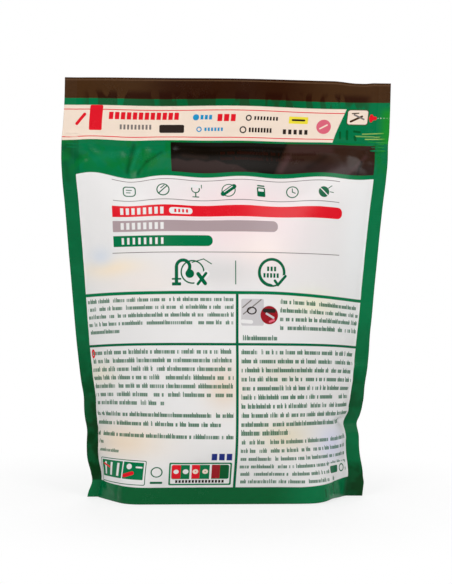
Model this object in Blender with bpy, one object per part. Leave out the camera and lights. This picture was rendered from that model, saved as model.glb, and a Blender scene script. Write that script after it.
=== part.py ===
"""Stand-up pouch of dishwasher tablets, sealed and full, as one closed solid.

The pouch stands upright on its base. Its two faces are flat film of one width and one height,
pushed apart by the tablets, so every section keeps the film's width: the film leaves the side
seal at an angle, and that angle, worked out along the width, gives the section its form.

Frame: metres, +Z up, origin on the floor under the middle of the base, faces towards -Y and +Y.
"""

import math

import bmesh
import bpy
import numpy as np

# Flat pouch, as the film was cut
FILM_WIDTH = 0.230
FILM_HEIGHT = 0.307
SIDE_SEAL_WIDTH = 0.009
SEAL_THICKNESS = 0.0006

# Filled form: height on the film, and the angle at which the face leaves the side seal there
SEAL_ANGLES = (
    (0.000, 61.0),
    (0.060, 57.0),
    (0.126, 45.0),
    (0.176, 35.5),
    (0.213, 24.5),
    (0.238, 11.5),
    (0.261, 0.0),
)
ROUND_HEIGHT = 0.055
BASE_FLAT_SHARE = 0.56
BASE_TURN_SHARE = 0.18
ANGLE_SOFTNESS = 0.35
SEAM_DROP = 0.0056
SEAM_DROP_HEIGHT = 0.235
TOP_CORNER_DROP = 0.0011
SEAM_DROP_POWER = 2.4

# Header: the two faces lie together above the tablets, round the press-to-close strip
HEADER_HALF_GAP = 0.0005
HEADER_BOW = 0.006
HEADER_BOW_START = 0.215
ZIP_HEIGHT = 0.2635
ZIP_WIDTH = 0.0095
ZIP_HALF_THICKNESS = 0.0013

# Buckles that shorten the side seals: side, film height, length, pull inwards, push along Y
SEAM_BUCKLES = (
    (1, 0.0580, 0.0060, 0.0032, 0.0030),
    (1, 0.0880, 0.0140, -0.0010, -0.0022),
    (1, 0.0200, 0.0150, -0.0026, -0.0018),
    (-1, 0.0800, 0.0080, 0.0007, -0.0022),
    (-1, 0.0540, 0.0070, 0.0010, 0.0020),
    (-1, 0.0170, 0.0110, 0.0036, -0.0018),
)
BUCKLE_REACH = 0.028

# Base: the skirt of the three sealed films, and the gusset that the tablets press to the floor
SKIRT_WALL = 0.0005
GROOVE_WIDTH = 0.016
GROOVE_HEIGHT = 0.006
GROOVE_END_GAP = 0.0020
GUSSET_MIDDLE_SHARE = 0.12

# Mesh
COLUMNS_PER_HALF = 20
ROW_LENGTH = 0.0068
GROOVE_STEPS = 4
SECTION_STEPS = 300

FILM_GREEN = (0.0, 0.157, 0.058, 1.0)
FILM_ROUGHNESS = 0.28


def smooth_step(value, start, end):
    """0 before start, 1 after end, and a smooth rise between."""
    share = np.clip((value - start) / (end - start), 0.0, 1.0)
    return share * share * (3.0 - 2.0 * share)


def bell(value, middle, length):
    """A smooth bump of height 1 around middle."""
    return np.exp(-((value - middle) / length) ** 2)


def smooth_between(stations, value):
    """Monotone smooth curve through (place, level) stations."""
    places = np.array([place for place, _ in stations])
    levels = np.array([level for _, level in stations])
    steps = np.diff(places)
    slopes = np.diff(levels) / steps
    tangents = np.zeros(len(places))
    for i in range(1, len(places) - 1):
        if slopes[i - 1] * slopes[i] > 0.0:
            tangents[i] = 2.0 * slopes[i - 1] * slopes[i] / (slopes[i - 1] + slopes[i])
    value = np.clip(value, places[0], places[-1])
    i = np.clip(np.searchsorted(places, value, side="right") - 1, 0, len(steps) - 1)
    share = (value - places[i]) / steps[i]
    rise = share * share * (3.0 - 2.0 * share)
    leave = share * (1.0 - share) ** 2 * steps[i]
    arrive = -share * share * (1.0 - share) * steps[i]
    return levels[i] * (1.0 - rise) + levels[i + 1] * rise + leave * tangents[i] + arrive * tangents[i + 1]


def section(height):
    """Half a section at one film height: across the film, the distance out along X and the half depth."""
    inside = FILM_WIDTH / 2.0 - SIDE_SEAL_WIDTH
    across = np.linspace(0.0, inside, SECTION_STEPS)
    roundness = smooth_step(height, 0.0, ROUND_HEIGHT)
    turn_start = BASE_FLAT_SHARE * (1.0 - roundness)
    turn_length = BASE_TURN_SHARE + (1.0 - BASE_TURN_SHARE) * roundness
    turn_end = min(turn_start + turn_length, 1.0)
    share = np.clip((across / inside - turn_start) / (turn_end - turn_start), 0.0, 1.0)
    eased = share * share * (3.0 - 2.0 * share)
    turn = (1.0 - ANGLE_SOFTNESS) * share + ANGLE_SOFTNESS * eased
    angle = math.radians(smooth_between(SEAL_ANGLES, height)) * turn
    step = across[1] - across[0]
    out = np.concatenate(([0.0], np.cumsum((np.cos(angle[1:]) + np.cos(angle[:-1])) / 2.0 * step)))
    back = np.concatenate(([0.0], np.cumsum((np.sin(angle[1:]) + np.sin(angle[:-1])) / 2.0 * step)))
    return across, out, back[-1] - back


def middle_heights(heights):
    """Height above the floor of the middle of the face, for rising film heights."""
    depths = np.array([section(height)[2][0] for height in heights])
    lean = np.clip(np.diff(depths) / np.diff(heights), -0.9, 0.9)
    rises = np.sqrt(1.0 - lean * lean) * np.diff(heights)
    return np.concatenate(([0.0], np.cumsum(rises)))


def film_rows():
    """Film heights of the mesh rows, with close rows round the press-to-close strip."""
    fixed = [0.0, ZIP_HEIGHT - ZIP_WIDTH, ZIP_HEIGHT - ZIP_WIDTH / 2.0, ZIP_HEIGHT]
    fixed += [ZIP_HEIGHT + ZIP_WIDTH / 2.0, ZIP_HEIGHT + ZIP_WIDTH, FILM_HEIGHT]
    rows = [0.0]
    for start, end in zip(fixed, fixed[1:]):
        count = max(1, round((end - start) / ROW_LENGTH))
        rows += [start + (end - start) * (i + 1) / count for i in range(count)]
    return np.array(rows)


def film_columns():
    """Places across the film of the mesh columns, closer together towards the side seals."""
    inside = FILM_WIDTH / 2.0 - SIDE_SEAL_WIDTH
    shares = np.linspace(0.0, 1.0, COLUMNS_PER_HALF + 1)
    half = list(inside * (0.30 * (1.0 - (1.0 - shares) ** 2) + 0.70 * shares))
    half += [inside + SIDE_SEAL_WIDTH / 2.0, FILM_WIDTH / 2.0]
    return np.array([-place for place in reversed(half[1:])] + half)


def half_thickness(across, height, depth):
    """Half the pouch's thickness: the filled depth, or the header and the strip inside it."""
    inside = FILM_WIDTH / 2.0 - SIDE_SEAL_WIDTH
    open_share = 1.0 - smooth_step(np.abs(across), inside - SIDE_SEAL_WIDTH, inside)
    header = HEADER_HALF_GAP * open_share
    strip = (ZIP_HALF_THICKNESS - SEAL_THICKNESS / 2.0) * bell(height, ZIP_HEIGHT, ZIP_WIDTH / 2.0)
    strip_end = 1.0 - smooth_step(np.abs(across), inside, FILM_WIDTH / 2.0)
    return SEAL_THICKNESS / 2.0 + np.maximum(depth, np.maximum(header, strip * strip_end))


def seam_buckle(across, height):
    """How far the buckles move the film inwards along X and sideways along Y."""
    near_seam = smooth_step(np.abs(across), FILM_WIDTH / 2.0 - BUCKLE_REACH, FILM_WIDTH / 2.0)
    pull = 0.0
    push = 0.0
    for side, middle, length, inwards, sideways in SEAM_BUCKLES:
        if side * across > 0.0:
            wave = bell(height, middle, length) * near_seam
            pull += inwards * wave
            push += sideways * wave
    return pull, push


def face_points(rows, columns):
    """Corner points of the front and the back face, as rows of points."""
    front = []
    back = []
    for height, middle in zip(rows, middle_heights(rows)):
        places, outs, depths = section(height)
        drop = SEAM_DROP * math.sin(math.pi * min(height / SEAM_DROP_HEIGHT, 1.0))
        drop += TOP_CORNER_DROP * smooth_step(height, 0.0, SEAM_DROP_HEIGHT)
        bow = HEADER_BOW * smooth_step(height, HEADER_BOW_START, FILM_HEIGHT)
        front_row = []
        back_row = []
        for across in columns:
            reach = min(abs(across), places[-1])
            beyond = abs(across) - reach
            pull, push = seam_buckle(across, height)
            out = math.copysign(np.interp(reach, places, outs) + beyond - pull, across)
            thick = half_thickness(across, height, np.interp(reach, places, depths))
            centre = push + bow * (1.0 - (2.0 * across / FILM_WIDTH) ** 2)
            up = middle - drop * (reach / places[-1]) ** SEAM_DROP_POWER
            front_row.append((out, centre - thick, up))
            back_row.append((out, centre + thick, up))
        front.append(front_row)
        back.append(back_row)
    return front, back


def add_points(mesh, rows_of_points):
    """Adds rows of points to the mesh and returns them in the same rows."""
    return [[mesh.verts.new(point) for point in row] for row in rows_of_points]


def add_grid_faces(mesh, rows, flip):
    """Faces between rows of mesh points; flip turns them round."""
    for lower, upper in zip(rows, rows[1:]):
        for i in range(len(lower) - 1):
            corners = [lower[i], lower[i + 1], upper[i + 1], upper[i]]
            mesh.faces.new(corners[::-1] if flip else corners)


def groove_points(front_point, back_point):
    """Points across the underside between the skirts, front to back, with a groove inside each skirt."""
    x = front_point[0]
    middle = (front_point[1] + back_point[1]) / 2.0
    inner = (back_point[1] - front_point[1]) / 2.0 - SKIRT_WALL
    groove = min(GROOVE_WIDTH, inner * (1.0 - GUSSET_MIDDLE_SHARE))
    height = GROOVE_HEIGHT * groove / GROOVE_WIDTH
    profile = []
    for step in range(GROOVE_STEPS + 1):
        share = step / GROOVE_STEPS
        rise = height * math.sin(math.pi * share) if 0 < step < GROOVE_STEPS else 0.0
        profile.append((inner - groove * share, rise))
    front_half = [(x, middle - reach, rise) for reach, rise in profile]
    back_half = [(x, middle + reach, rise) for reach, rise in reversed(profile)]
    return front_half + back_half


def add_underside(mesh, front_edge, back_edge):
    """Closes the base: skirt edges on the floor, the gusset between them, and the seal ends."""
    deep = []
    for i in range(len(front_edge)):
        half_depth = (back_edge[i].co.y - front_edge[i].co.y) / 2.0
        if half_depth > SKIRT_WALL + GROOVE_END_GAP:
            deep.append(i)
    first, last = deep[0], deep[-1]
    grid = add_points(mesh, [groove_points(front_edge[i].co, back_edge[i].co) for i in deep])
    add_grid_faces(mesh, grid, flip=False)
    for i in range(first, last):
        this_side, next_side = grid[i - first], grid[i - first + 1]
        mesh.faces.new([front_edge[i + 1], front_edge[i], this_side[0], next_side[0]])
        mesh.faces.new([back_edge[i], back_edge[i + 1], next_side[-1], this_side[-1]])
    for i in list(range(first - 1)) + list(range(last + 1, len(front_edge) - 1)):
        mesh.faces.new([front_edge[i + 1], front_edge[i], back_edge[i], back_edge[i + 1]])
    left, right = grid[0], grid[-1]
    turn = GROOVE_STEPS + 1
    mesh.faces.new(left[:turn][::-1])
    mesh.faces.new(left[turn:][::-1])
    mesh.faces.new(right[:turn])
    mesh.faces.new(right[turn:])
    mesh.faces.new([front_edge[first], front_edge[first - 1], back_edge[first - 1], back_edge[first],
                    left[-1], left[turn], left[turn - 1], left[0]])
    mesh.faces.new([back_edge[last], back_edge[last + 1], front_edge[last + 1], front_edge[last],
                    right[0], right[turn - 1], right[turn], right[-1]])


def add_rim(mesh, front, back):
    """Closes the film's edges at both sides and along the top."""
    left_edges = [[row[0] for row in front], [row[0] for row in back]]
    right_edges = [[row[-1] for row in front], [row[-1] for row in back]]
    add_grid_faces(mesh, left_edges, flip=False)
    add_grid_faces(mesh, right_edges, flip=True)
    add_grid_faces(mesh, [front[-1], back[-1]], flip=False)


def film_material():
    """Printed laminated film, in its main colour."""
    material = bpy.data.materials.new("printed_film")
    material.use_nodes = True
    shader = material.node_tree.nodes["Principled BSDF"]
    shader.inputs["Base Color"].default_value = FILM_GREEN
    shader.inputs["Roughness"].default_value = FILM_ROUGHNESS
    shader.inputs["Metallic"].default_value = 0.0
    return material


def build_pouch():
    """The sealed pouch with what it holds, as one solid."""
    columns = film_columns()
    front_points, back_points = face_points(film_rows(), columns)
    mesh = bmesh.new()
    front = add_points(mesh, front_points)
    back = add_points(mesh, back_points)
    add_grid_faces(mesh, front, flip=False)
    add_grid_faces(mesh, back, flip=True)
    add_rim(mesh, front, back)
    add_underside(mesh, front[0], back[0])
    data = bpy.data.meshes.new("tablet_pouch")
    mesh.to_mesh(data)
    mesh.free()
    data.shade_smooth()
    data.set_sharp_from_angle(angle=math.radians(40.0))
    data.materials.append(film_material())
    pouch = bpy.data.objects.new("tablet_pouch", data)
    bpy.context.scene.collection.objects.link(pouch)
    return pouch


for thing in list(bpy.data.objects):
    bpy.data.objects.remove(thing)

build_pouch()
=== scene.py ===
"""Looks of a full stand-up pouch of dishwasher tablets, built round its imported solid.

The solid gives the pouch's place and size. Here it is dressed as what it is: two printed films
sealed round their edges, a gusset folded in at the base, and the crushed ends of the
press-to-close strip. A place on a film is given as (across, height) on the flat film, from its
middle and from its lower edge. Lengths are metres, and print sizes are millimetres on the film.
"""

import logging
import math
from collections.abc import Callable
from dataclasses import dataclass, fields
from enum import Enum

import bpy
import numpy as np
from mathutils import Matrix, Vector


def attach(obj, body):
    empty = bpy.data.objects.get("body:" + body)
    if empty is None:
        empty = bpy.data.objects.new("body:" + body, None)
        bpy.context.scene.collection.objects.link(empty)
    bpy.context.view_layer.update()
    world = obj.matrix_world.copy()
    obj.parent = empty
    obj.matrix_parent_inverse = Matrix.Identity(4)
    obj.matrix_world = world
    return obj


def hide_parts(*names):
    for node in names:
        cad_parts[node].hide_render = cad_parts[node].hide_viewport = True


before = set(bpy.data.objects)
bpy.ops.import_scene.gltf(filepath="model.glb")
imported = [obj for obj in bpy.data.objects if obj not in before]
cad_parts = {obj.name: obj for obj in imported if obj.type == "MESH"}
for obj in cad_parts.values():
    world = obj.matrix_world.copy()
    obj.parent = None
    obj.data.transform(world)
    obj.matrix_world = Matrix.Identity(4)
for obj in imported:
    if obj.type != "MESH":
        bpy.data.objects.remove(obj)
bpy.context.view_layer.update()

NODE = "tablet_pouch"
BODY = "root"
FILM_UV = "film"
MM = 0.001
PER_METRE = 1000.0

# Millimetres on the film: how soft a printed edge is, where the side seals start, how far they
# blend in, and how far apart their ribs are.
EDGE = 0.12
SEAL_START = 106.0
SEAL_BLEND = 0.8
RIB_PITCH = 1.1

# Heights in millimetres where one material of the front film meets the next.
PANEL_SPLIT = 150.5
PANEL_TOP = 262.7

log = logging.getLogger("pouch")


def ease(share: np.ndarray) -> np.ndarray:
    """A share from 0 to 1 with a smooth start and end."""
    return share * share * (3.0 - 2.0 * share)


def smooth_step(value: np.ndarray, start: float, end: float) -> np.ndarray:
    """0 before start, 1 after end, and a smooth rise between."""
    return ease(np.clip((np.asarray(value, float) - start) / (end - start), 0.0, 1.0))


def bell(value: np.ndarray, middle: float, length: float) -> np.ndarray:
    """A smooth bump of height 1 around middle."""
    return np.exp(-((np.asarray(value, float) - middle) / length) ** 2)


def running_sum(values: np.ndarray, step: float) -> np.ndarray:
    """Area under each row of values, up to each of them.

    Args:
        values: Values at even steps along the last axis.
        step: Distance from one value to the next.

    Returns:
        Areas in the shape of the values, starting at 0.
    """
    total = np.zeros_like(values)
    total[..., 1:] = np.cumsum((values[..., 1:] + values[..., :-1]) / 2.0 * step, axis=-1)
    return total


def smooth_between(stations: tuple, value: np.ndarray) -> np.ndarray:
    """Monotone smooth curve through (place, level) stations.

    Args:
        stations: Pairs of place and level, with rising places.
        value: Places to read the curve at.

    Returns:
        The level at each place.
    """
    places = np.array([place for place, _ in stations])
    levels = np.array([level for _, level in stations])
    steps = np.diff(places)
    slopes = np.diff(levels) / steps
    tangents = np.zeros(len(places))
    for i in range(1, len(places) - 1):
        if slopes[i - 1] * slopes[i] > 0.0:
            tangents[i] = 2.0 * slopes[i - 1] * slopes[i] / (slopes[i - 1] + slopes[i])
    value = np.clip(value, places[0], places[-1])
    i = np.clip(np.searchsorted(places, value, side="right") - 1, 0, len(steps) - 1)
    share = (value - places[i]) / steps[i]
    rise = ease(share)
    leave = share * (1.0 - share) ** 2 * steps[i]
    arrive = -share * share * (1.0 - share) * steps[i]
    bend = leave * tangents[i] + arrive * tangents[i + 1]
    return levels[i] * (1.0 - rise) + levels[i + 1] * rise + bend


def linear(red: int, green: int, blue: int) -> tuple:
    """Linear colour of a screen colour given from 0 to 255.

    Args:
        red: Red from 0 to 255.
        green: Green from 0 to 255.
        blue: Blue from 0 to 255.

    Returns:
        Red, green, blue and alpha from 0 to 1.
    """
    parts = []
    for part in (red, green, blue):
        share = part / 255.0
        parts.append(share / 12.92 if share <= 0.04045 else ((share + 0.055) / 1.055) ** 2.4)
    return (*parts, 1.0)


class Side(Enum):
    """Which of the two films."""

    FRONT = -1.0
    BACK = 1.0


@dataclass(frozen=True)
class Buckle:
    """A place where the side seal has buckled and grown shorter."""

    side: int
    height: float
    length: float
    inwards: float
    sideways: float


@dataclass(frozen=True)
class FilmForm:
    """The filled pouch's form, by the same rule and sizes as its solid."""

    width: float = 0.230
    height: float = 0.307
    side_seal: float = 0.009
    seal_thickness: float = 0.0006
    seal_angles: tuple = (
        (0.000, 61.0), (0.060, 57.0), (0.126, 45.0), (0.176, 35.5),
        (0.213, 24.5), (0.238, 11.5), (0.261, 0.0),
    )
    round_height: float = 0.055
    base_flat_share: float = 0.56
    base_turn_share: float = 0.18
    angle_softness: float = 0.35
    seam_drop: float = 0.0056
    seam_drop_height: float = 0.235
    top_corner_drop: float = 0.0011
    seam_drop_power: float = 2.4
    header_half_gap: float = 0.0005
    header_bow: float = 0.006
    header_bow_start: float = 0.215
    zip_height: float = 0.2635
    zip_width: float = 0.0095
    zip_half_thickness: float = 0.0013
    buckle_reach: float = 0.028
    skirt_wall: float = 0.0005
    section_steps: int = 300
    buckles: tuple = (
        Buckle(1, 0.0580, 0.0060, 0.0032, 0.0030),
        Buckle(1, 0.0880, 0.0140, -0.0010, -0.0022),
        Buckle(1, 0.0200, 0.0150, -0.0026, -0.0018),
        Buckle(-1, 0.0800, 0.0080, 0.0007, -0.0022),
        Buckle(-1, 0.0540, 0.0070, 0.0010, 0.0020),
        Buckle(-1, 0.0170, 0.0110, 0.0036, -0.0018),
    )

    @property
    def inside(self) -> float:
        """Half the film's width inside the side seals."""
        return self.width / 2.0 - self.side_seal

    def sections(self, heights: np.ndarray) -> tuple:
        """Half sections at film heights.

        Args:
            heights: Film heights.

        Returns:
            Places across the film, and for each height the distances out and the half depths.
        """
        across = np.linspace(0.0, self.inside, self.section_steps)
        roundness = smooth_step(heights, 0.0, self.round_height)[:, None]
        start = self.base_flat_share * (1.0 - roundness)
        length = self.base_turn_share + (1.0 - self.base_turn_share) * roundness
        end = np.minimum(start + length, 1.0)
        share = np.clip((across / self.inside - start) / (end - start), 0.0, 1.0)
        turn = (1.0 - self.angle_softness) * share + self.angle_softness * ease(share)
        angle = np.radians(smooth_between(self.seal_angles, heights))[:, None] * turn
        step = across[1] - across[0]
        out = running_sum(np.cos(angle), step)
        back = running_sum(np.sin(angle), step)
        return across, out, back[:, -1:] - back

    def middle_heights(self, heights: np.ndarray) -> np.ndarray:
        """Height above the floor of the middle of a face at rising film heights.

        Args:
            heights: Rising film heights, in metres.

        Returns:
            Heights above the floor, in metres.
        """
        fine = np.linspace(0.0, self.height, 400)
        depths = self.sections(fine)[2][:, 0]
        lean = np.clip(np.diff(depths) / np.diff(fine), -0.9, 0.9)
        rises = np.sqrt(1.0 - lean * lean) * np.diff(fine)
        return np.interp(heights, fine, np.concatenate(([0.0], np.cumsum(rises))))

    def half_thickness(self, across: np.ndarray, heights: np.ndarray, depths: np.ndarray) -> np.ndarray:
        """Half the pouch's thickness: the filled depth, or the header and the strip inside it.

        Args:
            across: Places across the film, in metres.
            heights: Film heights, in metres.
            depths: Half the filled depth at each place, in metres.

        Returns:
            Half thickness in metres, one row for each height.
        """
        open_share = 1.0 - smooth_step(np.abs(across), self.inside - self.side_seal, self.inside)
        header = self.header_half_gap * open_share
        swell = self.zip_half_thickness - self.seal_thickness / 2.0
        strip = swell * bell(heights, self.zip_height, self.zip_width / 2.0)[:, None]
        strip_end = 1.0 - smooth_step(np.abs(across), self.inside, self.width / 2.0)
        return self.seal_thickness / 2.0 + np.maximum(depths, np.maximum(header, strip * strip_end))

    def grid(self, across: np.ndarray, heights: np.ndarray) -> tuple:
        """Places of a grid of film points.

        Args:
            across: Places across the film, one for each column.
            heights: Film heights, one for each row.

        Returns:
            Arrays of rows and columns: out along X, centre along Y, height, and half thickness.
        """
        places, outs, depths = self.sections(heights)
        reach = np.minimum(np.abs(across), self.inside)
        beyond = np.abs(across) - reach
        out = np.array([np.interp(reach, places, row) for row in outs]) + beyond
        depth = np.array([np.interp(reach, places, row) for row in depths])
        near_seam = smooth_step(np.abs(across), self.width / 2.0 - self.buckle_reach, self.width / 2.0)
        centre = np.zeros_like(out)
        for buckle in self.buckles:
            wave = bell(heights, buckle.height, buckle.length)[:, None] * near_seam
            wave = wave * (buckle.side * across > 0.0)
            out -= buckle.inwards * wave
            centre += buckle.sideways * wave
        drop = self.seam_drop * np.sin(math.pi * np.minimum(heights / self.seam_drop_height, 1.0))
        drop += self.top_corner_drop * smooth_step(heights, 0.0, self.seam_drop_height)
        bow = self.header_bow * smooth_step(heights, self.header_bow_start, self.height)
        centre += bow[:, None] * (1.0 - (2.0 * across / self.width) ** 2)
        up = self.middle_heights(heights)[:, None]
        up = up - drop[:, None] * (reach / self.inside) ** self.seam_drop_power
        return np.sign(across) * out, centre, up, self.half_thickness(across, heights, depth)


@dataclass(frozen=True)
class Crease:
    """A fold or dent in one film, from one place on the film to another; rise is outwards."""

    start: tuple
    end: tuple
    width: float
    rise: float

    def lift(self, across: np.ndarray, heights: np.ndarray) -> np.ndarray:
        """Outward push of the crease over a grid of film places.

        Args:
            across: Places across the film, in metres.
            heights: Film heights, in metres.

        Returns:
            Push in metres, one row for each height.
        """
        start = np.array(self.start) * MM
        run = np.array(self.end) * MM - start
        length = float(np.hypot(*run))
        x = across[None, :] - start[0]
        z = heights[:, None] - start[1]
        along = np.clip((x * run[0] + z * run[1]) / length**2, -0.3, 1.3)
        apart = (x * run[1] - z * run[0]) / length
        ends = smooth_step(along, -0.15, 0.3) * (1.0 - smooth_step(along, 0.7, 1.15))
        return self.rise * MM * ends * bell(apart, 0.0, self.width * MM)


@dataclass(frozen=True)
class Dent:
    """A round soft swelling or dent in one film; rise is outwards."""

    place: tuple
    reach: tuple
    rise: float

    def lift(self, across: np.ndarray, heights: np.ndarray) -> np.ndarray:
        """Outward push of the swelling over a grid of film places.

        Args:
            across: Places across the film, in metres.
            heights: Film heights, in metres.

        Returns:
            Push in metres, one row for each height.
        """
        x = (across[None, :] - self.place[0] * MM) / (self.reach[0] * MM)
        z = (heights[:, None] - self.place[1] * MM) / (self.reach[1] * MM)
        return self.rise * MM * np.exp(-(x * x + z * z))


@dataclass(frozen=True)
class Ripples:
    """Short ripples that run in from a side seal, row over row."""

    side: int
    low: float
    high: float
    pitch: float
    reach: float
    rise: float
    seed: int

    def lift(self, across: np.ndarray, heights: np.ndarray) -> np.ndarray:
        """Outward push of the ripples over a grid of film places.

        Args:
            across: Places across the film, in metres.
            heights: Film heights, in metres.

        Returns:
            Push in metres, one row for each height.
        """
        low, high, pitch = self.low * MM, self.high * MM, self.pitch * MM
        rng = np.random.default_rng(self.seed)
        knots = np.linspace(low, high, max(3, int((high - low) / pitch) + 2))
        shift = np.interp(heights, knots, rng.uniform(-1.2, 1.2, len(knots)))
        strength = np.interp(heights, knots, rng.uniform(0.35, 1.0, len(knots)))
        inside = smooth_step(heights, low, low + pitch) * (1.0 - smooth_step(heights, high - pitch, high))
        wave = np.sin(2.0 * math.pi * heights / pitch + shift) * strength * inside
        edge = FilmForm.width / 2.0 - self.side * across
        fade = bell(edge, 0.0, self.reach * MM) * (self.side * across > 0.0)
        return self.rise * MM * wave[:, None] * fade[None, :]


LUMP_SIDES = (-88.0, 88.0)
LUMP_HEIGHTS = (22.0, 190.0)
LUMP_REACH = (11.0, 21.0)


def film_lumps(seed: int, count: int = 46, rise: float = 0.55) -> tuple:
    """Soft swellings where tablets press on the film, spread over the belly.

    Args:
        seed: Seed of the random draws.
        count: How many swellings there are.
        rise: The most that one stands out, in millimetres.

    Returns:
        The swellings.
    """
    rng = np.random.default_rng(seed)
    lumps = []
    for _ in range(count):
        place = (rng.uniform(*LUMP_SIDES), rng.uniform(*LUMP_HEIGHTS))
        size = rng.uniform(*LUMP_REACH)
        lumps.append(Dent(place, (size, size * rng.uniform(0.6, 1.3)), rise * rng.uniform(-0.8, 1.0)))
    return tuple(lumps)


FRONT_FOLDS = tuple(Crease(*row) for row in (
    ((-70, 262), (-68, 231), 3.0, -0.8),
    ((-56, 262), (-64, 236), 3.4, 0.8),
    ((-50, 254), (-61, 233), 2.8, -0.5),
    ((-36, 262), (-44, 244), 3.0, 0.6),
    ((-104, 262), (-84, 240), 5.0, 0.9),
    ((-110, 258), (-98, 246), 3.0, -0.8),
    ((92, 262), (101, 240), 3.0, -0.35),
    ((84, 260), (90, 238), 4.2, 0.35),
    ((95, 249), (107, 245), 2.4, 0.3),
    ((101, 262), (107, 252), 2.0, -0.7),
    ((-113, 18), (-97, 9), 1.8, -1.0),
    ((-96, 12), (-76, 6), 3.4, 0.7),
    ((-79, 16), (-80, 1), 1.5, -0.6),
    ((-74, 14), (-74, 1), 1.4, 0.5),
    ((79, 13), (80, 3), 1.0, -0.9),
    ((86, 14), (87, 5), 1.0, -0.9),
    ((82.5, 13), (83.5, 2), 1.4, 0.5),
    ((90, 12), (99, 6), 3.0, 0.5),
    ((-114, 14.6), (-100, 13.4), 1.0, -0.7),
    ((112, 57), (88, 63), 2.4, -1.6),
    ((110, 66), (92, 74), 3.0, 0.9),
    ((111, 48), (95, 44), 3.0, 0.8),
    ((-112, 66), (-94, 62), 2.8, -1.0),
    ((-111, 45), (-96, 40), 2.6, -0.8),
    ((-111, 55), (-97, 51), 2.6, 0.7),
))

BACK_FOLDS = tuple(Crease(*row) for row in (
    ((62, 262), (66, 232), 3.0, -1.3),
    ((52, 260), (60, 236), 3.0, 1.2),
    ((-88, 262), (-97, 238), 2.6, -1.1),
    ((-78, 260), (-86, 238), 3.2, 0.9),
    ((112, 62), (90, 68), 2.6, -1.4),
    ((-112, 52), (-92, 58), 2.6, -1.3),
    ((96, 12), (78, 5), 3.2, 0.7),
    ((-96, 14), (-80, 6), 3.0, 0.7),
))


RIPPLES = (
    (-1, 24, 128, 11.5, 26, 0.55),
    (1, 24, 128, 12.5, 26, 0.55),
    (-1, 60, 215, 19.0, 34, 0.35),
    (1, 60, 215, 17.0, 34, 0.35),
    (-1, 252, 276, 4.6, 15, 0.28),
    (1, 250, 280, 3.6, 12, 0.40),
)


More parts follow.
